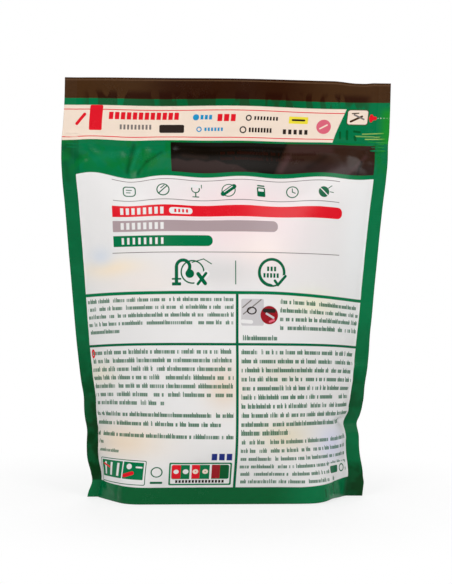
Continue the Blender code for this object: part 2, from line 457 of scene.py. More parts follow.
@dataclass(frozen=True)
class FilmFolds:
    """All folds, dents and waves of the two films."""

    form: FilmForm
    seed: int = 5
    back_seed: int = 25
    header_wave: float = 0.0011
    seal_wave: float = 0.0006
    left_sway: tuple = (
        (0, 2.0), (10, 2.6), (20, 1.0), (40, 1.2), (55, 0.9), (75, 0.4), (110, 0.0), (150, -0.6),
        (185, -1.1), (235, -0.8), (262, -0.5), (276, 0.6), (295, 1.4), (307, 1.5),
    )
    right_sway: tuple = (
        (0, 4.0), (10, 3.6), (17, 2.0), (30, 1.3), (50, 1.3), (60, 2.9), (67, 1.7), (75, 1.6),
        (89, 0.3), (102, 1.5), (110, 1.8), (130, 0.9),
        (180, 0.8), (235, 0.4), (262, 0.4), (272, 1.2), (290, 1.5), (307, 1.5),
    )

    def shared(self, across: np.ndarray, heights: np.ndarray) -> np.ndarray:
        """Push towards the front of both films together, where they lie face to face.

        Args:
            across: Places across the film, in metres.
            heights: Film heights, in metres.

        Returns:
            Push in metres, one row for each height.
        """
        in_header = smooth_step(heights, 0.246, 0.285)[:, None]
        wave = np.outer(np.cos(heights * 30.0 - 7.6), np.sin(across * 41.0 + 0.6))
        wave += 0.6 * np.sin(across * 87.0 + 2.1 + 0.5 * np.sin(across * 30.0))
        wave += 0.8 * bell(across, 0.098, 0.012)
        in_seal = smooth_step(np.abs(across), 0.098, 0.112)
        ripple = np.sin(heights * 150.0) * smooth_step(heights, 0.02, 0.06)
        ripple *= 1.0 - smooth_step(heights, 0.15, 0.22)
        return self.header_wave * in_header * wave + self.seal_wave * np.outer(ripple, in_seal)

    def sway(self, across: np.ndarray, heights: np.ndarray) -> np.ndarray:
        """How far the film's sides and header have moved along X.

        Args:
            across: Places across the film, in metres.
            heights: Film heights, in metres.

        Returns:
            Moves in metres, one row for each height.
        """
        left = smooth_between(self.left_sway, heights * PER_METRE)[:, None] * MM
        right = smooth_between(self.right_sway, heights * PER_METRE)[:, None] * MM
        near = smooth_step(np.abs(across), 0.102, 0.114)[None, :]
        near = np.maximum(near, smooth_step(heights, 0.268, 0.292)[:, None])
        return np.where(across[None, :] < 0.0, left, right) * near

    def own(self, side: Side, across: np.ndarray, heights: np.ndarray) -> np.ndarray:
        """Outward push of one film alone.

        Args:
            side: Which film it is.
            across: Places across the film, in metres.
            heights: Film heights, in metres.

        Returns:
            Push in metres, one row for each height.
        """
        front = side is Side.FRONT
        seed = self.seed if front else self.back_seed
        folds = (FRONT_FOLDS if front else BACK_FOLDS) + film_lumps(seed)
        folds += tuple(Ripples(*row, seed + index) for index, row in enumerate(RIPPLES, 1))
        return sum(fold.lift(across, heights) for fold in folds)

    def slide(self, across: np.ndarray, heights: np.ndarray) -> np.ndarray:
        """How far bunched film has slid up, which bends printed lines near the shoulder.

        Args:
            across: Places across the film, in metres.
            heights: Film heights, in metres.

        Returns:
            Slides in metres, one row for each height.
        """
        shoulder = 0.0022 * bell(across, -0.095, 0.014) - 0.0012 * bell(across, -0.066, 0.012)
        shoulder += 0.0009 * bell(across, 0.078, 0.016) + 0.0004 * np.sin(across * 120.0)
        top_dip = smooth_step(across, 0.074, 0.092) * (1.0 - 0.5 * smooth_step(across, 0.096, 0.104))
        slides = (
            (bell(heights, 0.238, 0.022), shoulder),
            (bell(heights, 0.286, 0.020), 0.0005 * np.sin(across * 55.0 + 1.1)),
            (smooth_step(heights, 0.290, 0.307), -0.0013 * top_dip),
            (bell(heights, 0.056, 0.022), 0.0017 * smooth_step(across, 0.088, 0.110)),
            (1.0 - smooth_step(heights, 0.0, 0.016), 0.0014 * bell(across, 0.080, 0.014)),
            (bell(heights, 0.153, 0.016), -0.0028 * smooth_step(across, 0.020, 0.107)),
            (bell(heights, 0.224, 0.020), 0.0006 * np.cos(116.0 * (across + 0.047))),
        )
        return sum(np.outer(up, along) for up, along in slides)


def new_object(name: str, points: np.ndarray, faces: list) -> bpy.types.Object:
    """A mesh object from points and faces, linked to the scene.

    Args:
        name: Name of the object and its mesh.
        points: Points, one row each.
        faces: Point indices of each face.

    Returns:
        The new object.
    """
    mesh = bpy.data.meshes.new(name)
    mesh.from_pydata([tuple(point) for point in points], [], faces)
    mesh.validate()
    thing = bpy.data.objects.new(name, mesh)
    bpy.context.scene.collection.objects.link(thing)
    mesh.shade_smooth()
    return thing


def grid_faces(rows: int, columns: int, first: int, flip: bool) -> list:
    """Quads of a grid of points whose first point has index first.

    Args:
        rows: How many rows of points there are.
        columns: Points in each row.
        first: Index of the first point.
        flip: Whether the faces turn the other way.

    Returns:
        Point indices of each face.
    """
    faces = []
    for r in range(rows - 1):
        for c in range(columns - 1):
            a = first + r * columns + c
            corners = (a, a + 1, a + columns + 1, a + columns)
            faces.append(corners[::-1] if flip else corners)
    return faces


def rim_loop(rows: int, columns: int) -> list:
    """Point indices round the edge of a grid, anticlockwise.

    Args:
        rows: How many rows of points there are.
        columns: Points in each row.

    Returns:
        Point indices in their order round the edge.
    """
    bottom = list(range(columns))
    right = [(r + 1) * columns - 1 for r in range(1, rows)]
    top = [(rows - 1) * columns + c for c in range(columns - 2, -1, -1)]
    left = [r * columns for r in range(rows - 2, 0, -1)]
    return bottom + right + top + left


def closed_sheet(name: str, outer: np.ndarray, inner: np.ndarray, flat: np.ndarray,
                 flip: bool) -> bpy.types.Object:
    """A thin closed sheet between an outer and an inner grid of points, with its film map.

    Args:
        name: The object's name.
        outer: Points of the outer skin, by row and column.
        inner: Points of the inner skin, by row and column.
        flat: Place on the flat film of each point of a skin, row by row.
        flip: Turns all faces round.

    Returns:
        The sheet's object.
    """
    rows, columns = outer.shape[:2]
    count = rows * columns
    faces = grid_faces(rows, columns, 0, flip) + grid_faces(rows, columns, count, not flip)
    rim = rim_loop(rows, columns)
    for a, b in zip(rim, rim[1:] + rim[:1]):
        side = (b, a, a + count, b + count)
        faces.append(side[::-1] if flip else side)
    sheet = new_object(name, np.vstack([outer.reshape(-1, 3), inner.reshape(-1, 3)]), faces)
    add_point_uv(sheet, np.vstack([flat, flat]))
    return sheet


def add_point_uv(thing: bpy.types.Object, flat: np.ndarray) -> None:
    """Stores a place on the flat film for each point, as the object's film map in metres.

    Args:
        thing: The object.
        flat: Place of each point on the flat film, in metres.
    """
    layer = thing.data.uv_layers.new(name=FILM_UV)
    corners = np.zeros(len(thing.data.loops), dtype=np.int32)
    thing.data.loops.foreach_get("vertex_index", corners)
    layer.data.foreach_set("uv", flat[corners].astype(np.float32).ravel())


def grid_normals(points: np.ndarray, outward_y: float) -> np.ndarray:
    """Unit normals of a grid of points, turned towards outward_y.

    Args:
        points: Points as rows and columns of x, y and z.
        outward_y: Sign of Y on the outer side.

    Returns:
        Normals in the same rows and columns.
    """
    along = np.gradient(points, axis=1)
    up = np.gradient(points, axis=0)
    normals = np.cross(along, up)
    normals /= np.maximum(np.linalg.norm(normals, axis=-1, keepdims=True), 1e-12)
    middle = normals[normals.shape[0] // 2, normals.shape[1] // 2]
    return normals if middle[1] * outward_y > 0.0 else -normals


@dataclass
class PouchFilm:
    """The front and the back film, each a thin sheet with its folds."""

    form: FilmForm
    folds: FilmFolds
    film_thickness: float = 0.00022
    row_length: float = 0.00125
    column_length: float = 0.00135
    edge_crowding: float = 0.20
    most_inward: float = 0.75
    seal_stiffness: float = 0.75

    def columns(self) -> np.ndarray:
        """Places across the film, closer together towards the side seals.

        Returns:
            Rising places in metres.
        """
        half = self.form.width / 2.0
        count = int(self.form.width / self.column_length)
        even = np.linspace(-1.0, 1.0, count | 1)
        crowded = np.sin(even * math.pi / 2.0)
        return half * ((1.0 - self.edge_crowding) * even + self.edge_crowding * crowded)

    def rows(self) -> np.ndarray:
        """Film heights, closer together at the base, the shoulder and the strip.

        Returns:
            Rising film heights in metres.
        """
        fine = np.linspace(0.0, self.form.height, 3000)
        density = 1.0 + 0.7 * bell(fine, self.form.zip_height, 0.016) + 0.5 * bell(fine, 0.0, 0.020)
        total = running_sum(density, 1.0)
        count = int(self.form.height / self.row_length)
        return np.interp(np.linspace(0.0, total[-1], count), total, fine)

    def outer_skin(self, side: Side, across: np.ndarray, heights: np.ndarray) -> np.ndarray:
        """Outer points of one film with all its folds.

        Args:
            side: Which film it is.
            across: Places across the film, in metres.
            heights: Film heights, in metres.

        Returns:
            Points in metres, as rows and columns of x, y and z.
        """
        out, centre, up, half = self.form.grid(across, heights)
        smooth = np.stack([out, centre + side.value * half, up], axis=-1)
        normals = grid_normals(smooth, side.value)
        lift = self.folds.own(side, across, heights)
        room = np.maximum(half - self.form.seal_thickness / 2.0, 0.0)
        lift = np.maximum(lift, -self.most_inward * room)
        in_seal = smooth_step(np.abs(across), self.form.inside - 0.002, self.form.inside + 0.004)
        lift = np.where(lift < 0.0, lift, lift * (1.0 - self.seal_stiffness * in_seal))
        points = smooth + normals * lift[..., None]
        points[..., 0] += self.folds.sway(across, heights)
        points[..., 1] -= self.folds.shared(across, heights)
        points[..., 2] += self.folds.slide(across, heights)
        points[..., 2] = np.maximum(points[..., 2], 0.0)
        return points

    def build(self, side: Side, name: str) -> bpy.types.Object:
        """One film as a closed thin sheet with its film map.

        Args:
            side: Which film it is.
            name: Name of the piece.

        Returns:
            The piece.
        """
        across = self.columns()
        heights = self.rows()
        outer = self.outer_skin(side, across, heights)
        inner = outer - grid_normals(outer, side.value) * self.film_thickness
        inner[0, :, 2] = outer[0, :, 2]
        flat = np.stack(np.meshgrid(across, heights), axis=-1).reshape(-1, 2)
        return closed_sheet(name, outer, inner, flat, flip=side is Side.BACK)


@dataclass
class BaseGusset:
    """The film folded in at the base, pressed to the floor between the two skirts."""

    form: FilmForm
    groove_width: float = 0.016
    groove_height: float = 0.006
    middle_share: float = 0.12
    end_gap: float = 0.0022
    film_thickness: float = 0.00020
    skirt_height: float = 0.0012
    floor_gap: float = 0.0004
    skirt_gap: float = 0.0001
    columns: int = 150
    groove_steps: int = 12
    middle_steps: int = 8

    def profile(self, inner: float) -> list:
        """Places from the front skirt to the back one, as (y, height) pairs.

        Args:
            inner: Half the depth from one skirt to the other, in metres.

        Returns:
            Pairs of y and height, in metres.
        """
        groove = min(self.groove_width, inner * (1.0 - self.middle_share))
        rise = self.groove_height * groove / self.groove_width
        half = [(inner, self.skirt_height * groove / self.groove_width)]
        for step in range(1, self.groove_steps + 1):
            share = step / self.groove_steps
            half.append((inner - groove * share, max(rise * math.sin(math.pi * share), self.floor_gap)))
        reach = inner - groove
        turns = [1.0 - 2.0 * step / self.middle_steps for step in range(1, self.middle_steps)]
        middle = [(-reach * turn, self.floor_gap) for turn in turns]
        return [(-y, z) for y, z in half] + middle + half[::-1]

    def build(self, name: str) -> bpy.types.Object:
        """The gusset as a closed thin sheet.

        Args:
            name: Name of the piece.

        Returns:
            The piece.
        """
        across = np.linspace(-self.form.inside, self.form.inside, self.columns)
        out, centre, _, half = self.form.grid(across, np.zeros(1))
        room = half[0] - self.form.skirt_wall
        used = [c for c in range(len(across)) if room[c] > self.end_gap]
        rows = []
        for c in used:
            profile = self.profile(room[c] - self.skirt_gap)
            rows.append([(out[0, c], centre[0, c] + y, z) for y, z in profile])
        under = np.array(rows)
        above = under + np.array([0.0, 0.0, self.film_thickness])
        flat = np.stack([np.repeat(out[0, used], under.shape[1]), under[..., 1].ravel()], axis=-1)
        return closed_sheet(name, under, above, flat, flip=False)


class Ink(Enum):
    """Colours of the print, and of painted shade, highlights and reflections."""

    GREEN = linear(0, 112, 66)
    # Painted shade on the green borders and in folds and creases.
    SHADE_GREEN = linear(0, 52, 16)
    GRASS = linear(2, 112, 44)
    # Printed on the back; on the front, a painted highlight on the shoulder's folds.
    EMERALD = linear(12, 128, 86)
    BRIGHT_GREEN = linear(24, 138, 30)
    # The dark panel's print, and painted shade in the folds on it.
    OLIVE = linear(14, 7, 2)
    # Painted reflection on the dark panel.
    SHEEN_UMBER = linear(50, 30, 20)
    LEAF = linear(0, 94, 58)
    BROWN = linear(65, 40, 18)
    MAROON = linear(38, 8, 0)
    TAN = linear(88, 62, 42)
    # Printed on the back; on the front, the lighter brown of a painted reflection on the dark panel.
    PANEL = linear(46, 31, 28)
    # Painted reflection on the dark panel's facets.
    FACET_SHEEN = linear(88, 60, 62)
    # Painted highlight on the crushed end of the strip.
    HIGHLIGHT_STRAW = linear(176, 204, 96)
    CREAM = linear(235, 216, 199)
    WHITE = linear(227, 225, 224)
    RED = linear(218, 22, 38)
    ROSE = linear(214, 98, 118)
    GREY = linear(167, 148, 151)
    STONE = linear(120, 112, 108)
    BLUE = linear(34, 92, 160)
    YELLOW = linear(232, 214, 60)
    BLACK = linear(46, 36, 32)
    SKY = linear(32, 140, 190)
    DARK_LEAF = linear(0, 84, 40)
    PALE_GREY = linear(196, 192, 194)
    DARK_RED = linear(150, 24, 34)
    DEEP_BLUE = linear(30, 44, 118)


def arithmetic(operation: str, swapped: bool = False) -> Callable:
    """A method of Value that adds one Math node.

    Args:
        operation: Name of the node's operation.
        swapped: Whether the other number comes first.

    Returns:
        The method.
    """

    def method(self: "Value", other: object = 0.0) -> "Value":
        """The Math node's result."""
        return self.bench.math(operation, *((other, self) if swapped else (self, other)))

    return method


class Value:
    """A number in a node tree; arithmetic on it adds Math nodes."""

    __add__ = arithmetic("ADD")
    __sub__ = arithmetic("SUBTRACT")
    __rsub__ = arithmetic("SUBTRACT", swapped=True)
    __mul__ = arithmetic("MULTIPLY")
    __truediv__ = arithmetic("DIVIDE")
    __gt__ = arithmetic("GREATER_THAN")
    __lt__ = arithmetic("LESS_THAN")
    __abs__ = arithmetic("ABSOLUTE")
    least = arithmetic("MINIMUM")
    most = arithmetic("MAXIMUM")
    floor = arithmetic("FLOOR")
    fraction = arithmetic("FRACT")
    root = arithmetic("SQRT")
    sine = arithmetic("SINE")
    exponential = arithmetic("EXPONENT")
    to_and_fro = arithmetic("PINGPONG")

    def __init__(self, bench: "Bench", socket: bpy.types.NodeSocket) -> None:
        """Holds a socket and the bench of its tree."""
        self.bench = bench
        self.socket = socket

    def ramp(self, low: object, high: object, start: float = 0.0, end: float = 1.0) -> "Value":
        """A smooth change from start to end as the number goes from low to high.

        Args:
            low: Number where the change starts.
            high: Number where it ends.
            start: Result up to low.
            end: Result from high on.

        Returns:
            The changed number.
        """
        ends = {"Value": self, "From Min": low, "From Max": high, "To Min": start, "To Max": end}
        node = self.bench.node("ShaderNodeMapRange", ends, interpolation_type="SMOOTHSTEP")
        return Value(self.bench, node.outputs[0])


class Bench:
    """Places nodes in one tree and joins them."""

    def __init__(self, tree: bpy.types.NodeTree) -> None:
        """Works on one node tree."""
        self.tree = tree

    def node(self, kind: str, inputs: dict | None = None, **settings: object) -> bpy.types.Node:
        """A new node of a kind, with its settings and with sources for its inputs.

        Args:
            kind: Type of node.
            inputs: Source of each input, by name or number.
            settings: The node's own settings by name.

        Returns:
            The new node.
        """
        node = self.tree.nodes.new(kind)
        for name, setting in settings.items():
            setattr(node, name, setting)
        self.wire(node, inputs or {})
        return node

    def wire(self, node: bpy.types.Node, inputs: dict) -> None:
        """Joins a node's inputs, by name or number, to sockets, or sets their values.

        Args:
            node: The node.
            inputs: Source of each input, by name or number.
        """
        for key, source in inputs.items():
            source = source.socket if isinstance(source, Value) else source
            if isinstance(source, bpy.types.NodeSocket):
                self.tree.links.new(source, node.inputs[key])
            else:
                node.inputs[key].default_value = source.value if isinstance(source, Ink) else source

    def math(self, operation: str, first: object, second: object = 0.0) -> Value:
        """The result of a Math node."""
        return Value(self, self.node("ShaderNodeMath", {0: first, 1: second}, operation=operation).outputs[0])

    def split(self, vector: object, kind: str = "XYZ") -> list:
        """The three numbers of a vector or a colour."""
        return [Value(self, part) for part in self.node("ShaderNodeSeparate" + kind, {0: vector}).outputs]

    def blend(self, share: object, first: object, second: object) -> object:
        """A mix of two colours."""
        return self.node("ShaderNodeMix", {0: share, 6: first, 7: second}, data_type="RGBA").outputs[2]

    def joined(self, x: object, y: object, z: object) -> object:
        """A vector from three numbers."""
        return self.node("ShaderNodeCombineXYZ", {0: x, 1: y, 2: z}).outputs[0]

    def speck(self, x: object, y: object, z: object) -> bpy.types.Node:
        """A node that gives random numbers for each place."""
        return self.node("ShaderNodeTexWhiteNoise", {"Vector": self.joined(x, y, z)}, noise_dimensions="3D")

    def noise(self, place: tuple, detail: float, scale: float = 1.0, roughness: float = 0.5) -> Value:
        """A Noise texture's number."""
        looks = {"Vector": self.joined(*place), "Scale": scale, "Detail": detail, "Roughness": roughness}
        return Value(self, self.node("ShaderNodeTexNoise", looks).outputs[0])

    def ray(self, kind: str) -> Value:
        """Whether the light path is of a kind, such as Camera."""
        return Value(self, self.node("ShaderNodeLightPath").outputs[f"Is {kind} Ray"])


def node_group(name: str, inputs: list, draw: Callable) -> bpy.types.NodeTree:
    """A new shader node group.

    Args:
        name: The group's name.
        inputs: Names of its inputs, all numbers.
        draw: Makes its outputs by name from the inputs.

    Returns:
        The group's tree.
    """
    tree = bpy.data.node_groups.new(name, "ShaderNodeTree")
    for label in inputs:
        tree.interface.new_socket(name=label, in_out="INPUT", socket_type="NodeSocketFloat")
    bench = Bench(tree)
    given = bench.node("NodeGroupInput").outputs
    made = draw(*[Value(bench, given[label]) for label in inputs])
    for label in made:
        tree.interface.new_socket(name=label, in_out="OUTPUT", socket_type="NodeSocketFloat")
    bench.node("NodeGroupOutput", made)
    return tree


def film_surface(across: Value, height: Value, gloss: Value) -> dict:
    """The film's own surface: a slow unevenness of gloss, and fine relief with ribbed side seals.

    Args:
        across: Place across the film, in millimetres.
        height: Film height, in millimetres.
        gloss: Roughness of the plain film.

    Returns:
        The group's outputs by name.
    """
    slow = across.bench.noise((across, height, 0.0), 3.0, 0.045, 0.55)
    fine = across.bench.noise((across, height, 0.0), 2.0, 0.9)
    in_seal = abs(across).ramp(SEAL_START, SEAL_START + SEAL_BLEND)
    ribs = (height / RIB_PITCH * (2.0 * math.pi)).sine() * in_seal * 0.35
    rough = gloss + (slow - 0.5) * 0.16 + (fine - 0.5) * 0.06 + in_seal * 0.05
    return {"Roughness": rough, "Relief": fine * 0.10 + slow * 1.1 + ribs}


class Mark:
    """A printed mark, or a mark of painted shade and light, in millimetres on the film; its numbers go by
    name into the group that draws it.
    """

    @classmethod
    def group(cls) -> bpy.types.NodeTree:
        """The node group that draws this kind of mark."""
        names = ["across", "height"] + [item.name for item in fields(cls) if item.name != "ink"]
        return node_group("print_" + cls.__name__.lower(), names, lambda *given: {"Mask": cls.draw(*given)})

    def numbers(self) -> dict:
        """The mark's numbers by name."""
        return {name: float(value) for name, value in vars(self).items() if name != "ink"}


@dataclass(frozen=True)
class Field(Mark):
    """A rectangle."""

    left: float
    right: float
    low: float
    high: float
    ink: Ink
    corner: float = 0.0

    @staticmethod
    def draw(across: Value, height: Value, left: Value, right: Value, low: Value, high: Value,
             corner: Value) -> Value:
        """The rectangle's mask.

        Args:
            across: Place across the film, in millimetres.
            height: Film height, in millimetres.
            left: Its left edge.
            right: Its right edge.
            low: Its lowest height.
            high: Its highest height.
            corner: Radius of its corners.

        Returns:
            0 outside and 1 inside, with a soft edge.
        """
        out_x = abs(across - (left + right) * 0.5) - (right - left) * 0.5 + corner
        out_z = abs(height - (low + high) * 0.5) - (high - low) * 0.5 + corner
        within = out_x.most(out_z).least(0.0)
        out_x = out_x.most(0.0)
        out_z = out_z.most(0.0)
        distance = (out_x * out_x + out_z * out_z).root() + within - corner
        return distance.ramp(-EDGE, EDGE, 1.0, 0.0)


@dataclass(frozen=True)
class Ring(Mark):
    """A drawn circle, or an oval if squashed."""

    x: float
    z: float
    radius: float
    line: float
    ink: Ink
    squash: float = 1.0

    @staticmethod
    def draw(across: Value, height: Value, x: Value, z: Value, radius: Value, line: Value,
             squash: Value) -> Value:
        """The circle's mask.

        Args:
            across: Place across the film, in millimetres.
            height: Film height, in millimetres.
            x: Place of its middle across the film.
            z: Height of its middle.
            radius: Its radius across the film.
            line: Width of its line.
            squash: Its width over its height.

        Returns:
            0 outside and 1 inside, with a soft edge.
        """
        out_x = across - x
        out_z = (height - z) * squash
        length = (out_x * out_x + out_z * out_z).root()
        return (abs(length - radius) - line * 0.5).ramp(-EDGE, EDGE, 1.0, 0.0)


@dataclass(frozen=True)
class Stroke(Mark):
    """A straight stroke with round ends."""

    x: float
    z: float
    end_x: float
    end_z: float
    line: float
    ink: Ink
    soft: float = EDGE
    weight: float = 1.0

    @staticmethod
    def draw(across: Value, height: Value, x: Value, z: Value, end_x: Value, end_z: Value, line: Value,
             soft: Value, weight: Value) -> Value:
        """The stroke's mask.

        Args:
            across: Place across the film, in millimetres.
            height: Film height, in millimetres.
            x: Place of its start across the film.
            z: Height of its start.
            end_x: Place of its end across the film.
            end_z: Height of its end.
            line: Its width.
            soft: Half the width of its soft edge.
            weight: Its strength from 0 to 1.

        Returns:
            0 outside and the weight inside.
        """
        run_x = end_x - x
        run_z = end_z - z
        out_x = across - x
        out_z = height - z
        share = ((out_x * run_x + out_z * run_z) / (run_x * run_x + run_z * run_z)).most(0.0).least(1.0)
        out_x = out_x - share * run_x
        out_z = out_z - share * run_z
        over = (out_x * out_x + out_z * out_z).root() - line * 0.5
        return over.ramp(soft * -1.0, soft, 1.0, 0.0) * weight


@dataclass(frozen=True)
class Blocks(Mark):
    """A row of plain blocks in place of a bold word."""

    left: float
    right: float
    low: float
    high: float
    pitch: float
    ink: Ink
    share: float = 0.74

    @staticmethod
    def draw(across: Value, height: Value, left: Value, right: Value, low: Value, high: Value,
             pitch: Value, share: Value) -> Value:
        """The blocks' mask.

        Args:
            across: Place across the film, in millimetres.
            height: Film height, in millimetres.
            left: Left edge of the row.
            right: Right edge of the row.
            low: Its lowest height.
            high: Its highest height.
            pitch: Distance from one block to the next.
            share: Share of the pitch that a block fills.

        Returns:
            0 outside and 1 inside, with a soft edge.
        """
        apart = abs(((across - left) / pitch).fraction() - 0.5)
        block = (apart - share * 0.5).ramp(-0.05, 0.05, 1.0, 0.0)
        sides = (across > left) * (across < right)
        over = (height - low).ramp(-EDGE, EDGE)
        under = (height - high).ramp(-EDGE, EDGE, 1.0, 0.0)
        return block * sides * (over * under)


# How much higher a tall tick is, and how strong the bar under the ticks is.
TALL_EXTRA = 0.44
BAR_SHARE = 0.38


@dataclass(frozen=True)
class Words(Mark):
    """Lines of upright ticks over faint bars in place of small print."""

    left: float
    right: float
    top: float
    pitch: float
    lines: int
    size: float
    ink: Ink
    weight: float = 0.9
    seed: float = 0.0
    last: float = 1.0
    gap: float = 0.14
    breadth: float = 1.5

    @staticmethod
    def draw(across: Value, height: Value, left: Value, right: Value, top: Value, pitch: Value,
             lines: Value, size: Value, weight: Value, seed: Value, last: Value, gap: Value,
             breadth: Value) -> Value:
        """The ticks' mask.

        Args:
            across: Place across the film, in millimetres.
            height: Film height, in millimetres.
            left: Place where the lines start.
            right: Place where full lines end.
            top: Height where the first line starts.
            pitch: Distance from one line to the next.
            lines: How many lines there are.
            size: Height of a low tick.
            weight: Strength from 0 to 1.
            seed: Seed of the ticks' order.
            last: Share of the width of the last line.
            gap: Share of the places that stay empty.
            breadth: Distance from one tick to the next.

        Returns:
            0 outside and the weight inside.
        """
        bench = across.bench
        row = (top - height) / pitch
        line = row.floor()
        level = size * 0.42 + pitch * 0.5 - row.fraction() * pitch
        slip = Value(bench, bench.speck(line, seed, 1.3).outputs["Value"]) * 0.8
        place = (across - left) / breadth + slip
        part = place.fraction()
        chances = bench.split(bench.speck(place.floor(), line, seed).outputs["Color"], "Color")
        tall = (chances[0] * 7.0).fraction() > 0.72
        over = level - size * (tall * TALL_EXTRA + 1.0)
        short = level < size * 1.05
        stem, far_stem = [abs(part - middle).ramp(0.13, 0.25, 1.0, 0.0) for middle in (0.22, 0.66)]
        far_stem = far_stem * (chances[1] > 0.30) * short
        ink = stem.most(far_stem).most(short * BAR_SHARE) * (chances[0] > gap)
        end = right - (right - left) * ((row > lines - 1.0) * (1.0 - last))
        inside = (row > 0.0) * (row < lines) * ((across > left) * (across < end))
        return inside * (level.ramp(-0.1, 0.1) * over.ramp(-0.1, 0.1, 1.0, 0.0) * ink) * weight


@dataclass(frozen=True)
class Tint(Mark):
    """A soft patch on the pale film: mostly where coloured tablets tint it; one is a painted shade and one a
    painted lighter strip.
    """

    x: float
    z: float
    reach_x: float
    reach_z: float
    ink: tuple

    def touches(self, low: float, high: float, fade: float = 2.5) -> bool:
        """Whether the patch can be seen between two heights."""
        return low - fade * self.reach_z <= self.z <= high + fade * self.reach_z

    @staticmethod
    def draw(across: Value, height: Value, x: Value, z: Value, reach_x: Value, reach_z: Value) -> Value:
        """The patch's mask.

        Args:
            across: Place across the film, in millimetres.
            height: Film height, in millimetres.
            x: Place of its middle across the film.
            z: Height of its middle.
            reach_x: How far it reaches across.
            reach_z: How far it reaches up.

        Returns:
            1 in the middle, fading to 0.
        """
        out_x = (across - x) / reach_x
        out_z = (height - z) / reach_z
        return ((out_x * out_x + out_z * out_z) * -1.0).exponential()


PANEL_TINTS = (
    Tint(8, 205, 46, 30, linear(238, 215, 217)),
    Tint(22, 182, 20, 12, linear(241, 226, 222)),
    Tint(-82, 169, 22, 7, linear(242, 224, 196)),
    Tint(-92, 178, 9, 6.5, linear(212, 216, 223)),
    Tint(-60, 158, 30, 12, linear(232, 224, 219)),
    # Painted shade: a grey patch where a tablet swells the film.
    Tint(-8, 166, 24, 10, linear(214, 211, 210)),
    # Painted light: a brighter strip along the right edge of the pale panel.
    Tint(98, 190, 12, 44, linear(233, 233, 233)),
    Tint(-78, 47, 30, 13, linear(237, 219, 198)),
    Tint(-4, 86, 13, 15, linear(226, 210, 194)),
    Tint(62, 146, 20, 9, linear(231, 228, 206)),
    Tint(40, 52, 22, 11, linear(224, 214, 192)),
    Tint(-98, 96, 16, 9, linear(229, 224, 210)),
    Tint(36, 96, 24, 12, linear(219, 214, 204)),
    Tint(86, 44, 16, 14, linear(214, 214, 232)),
)


def framed(outer: Field, line: float, ink: Ink, corner: float) -> list:
    """A field with a smaller one of another ink on it, a line's width in from its edges."""
    sides = (outer.left + line, outer.right - line)
    return [outer, Field(*sides, outer.low + line, outer.high - line, ink, corner)]


def strokes(ink: Ink, *rows: tuple) -> list:
    """Strokes of one ink, from their start, end and line, and their softness and weight if they have them."""
    return [Stroke(*row[:5], ink, *row[5:]) for row in rows]


def header_marks() -> list:
    """Plain marks of the cream band.

    Returns:
        The marks, in the order in which they are printed.
    """
    return [
        Field(-200, 200, 284.3, 284.9, Ink.RED),
        Field(-200, 200, 265.4, 266, Ink.RED),
        Stroke(-105, 274.6, -100, 281, 2.2, Ink.RED),
        Field(-96.5, -87.5, 270, 287.6, Ink.RED, 1),
        Blocks(-83.5, -33.1, 277.9, 283, 4.2, Ink.RED),
        Blocks(-75.5, -52.1, 271, 274.4, 2.6, Ink.STONE, 0.55),
        Field(-47, -29.5, 268.6, 274.4, Ink.BLACK, 1.2),
        Ring(-21.5, 279.6, 1.1, 2.2, Ink.SKY),
        Blocks(-18.8, -9.8, 278, 281.2, 3, Ink.SKY, 0.7),
        Ring(-19, 271.2, 1.5, 0.8, Ink.SKY),
        Blocks(-15.6, -1.8, 270, 272.4, 2.3, Ink.SKY, 0.62),
        Blocks(-7, 6.8, 276.8, 281.8, 4.6, Ink.RED),
        Ring(15.5, 279.3, 1.7, 0.9, Ink.BLACK),
        Blocks(19, 36.6, 278, 280.6, 2.2, Ink.BLACK, 0.6),
        Ring(12, 271, 2, 0.9, Ink.BLACK),
        Blocks(15.8, 32.6, 269.4, 272.6, 2.1, Ink.BLACK, 0.66),
        Field(44, 57.5, 276.4, 281.4, Ink.YELLOW, 0.4),
        Field(46, 55.5, 278.3, 279.7, Ink.BLACK, 0.6),
        Blocks(39.5, 58.5, 268.8, 272.2, 3.8, Ink.BLACK, 0.6),
        Ring(69, 274.8, 2.6, 5.2, Ink.ROSE),
        Stroke(66.4, 273.4, 71.4, 276.2, 1, Ink.CREAM),
    ]


def header_end_marks() -> list:
    """Plain marks to the right of the cream band, and painted highlights on the crushed end of the strip.

    Returns:
        The marks, in the order in which they are printed.
    """
    return [
        *framed(Field(85, 100.2, 276.4, 287.4, Ink.BROWN, 2), 0.5, Ink.CREAM, 1.7),
        Stroke(88, 279, 95.5, 282.6, 1.5, Ink.BROWN),
        Stroke(90, 283.8, 97, 280.6, 1.1, Ink.STONE),
        Stroke(88.5, 284.6, 93, 284.9, 0.8, Ink.BROWN),
        # Painted highlights: pale and bright green streaks on the crushed end of the strip.
        *strokes(Ink.HIGHLIGHT_STRAW, (97, 270.2, 111, 270.9, 0.5, 0.4, 0.8),
                 (92, 268.6, 109, 268.4, 0.6, 0.5, 0.55), (99, 266.6, 112, 266.9, 0.5, 0.4, 0.9)),
        *strokes(Ink.BRIGHT_GREEN, (101, 264.9, 111, 264.4, 0.4, 0.4, 0.9)),
        Ring(102.6, 281.4, 1, 2, Ink.RED),
        *strokes(Ink.DARK_LEAF, (81, 271, 81, 267, 1.6), (86, 272, 86, 266.5, 1.8),
                 (91, 272, 95, 271.5, 1.6), (91.5, 268, 92, 266, 1.8)),
        Stroke(102.2, 281.4, 105.2, 281.4, 2.4, Ink.RED),
        Field(101.2, 103.4, 278.6, 284.2, Ink.RED, 1),
    ]


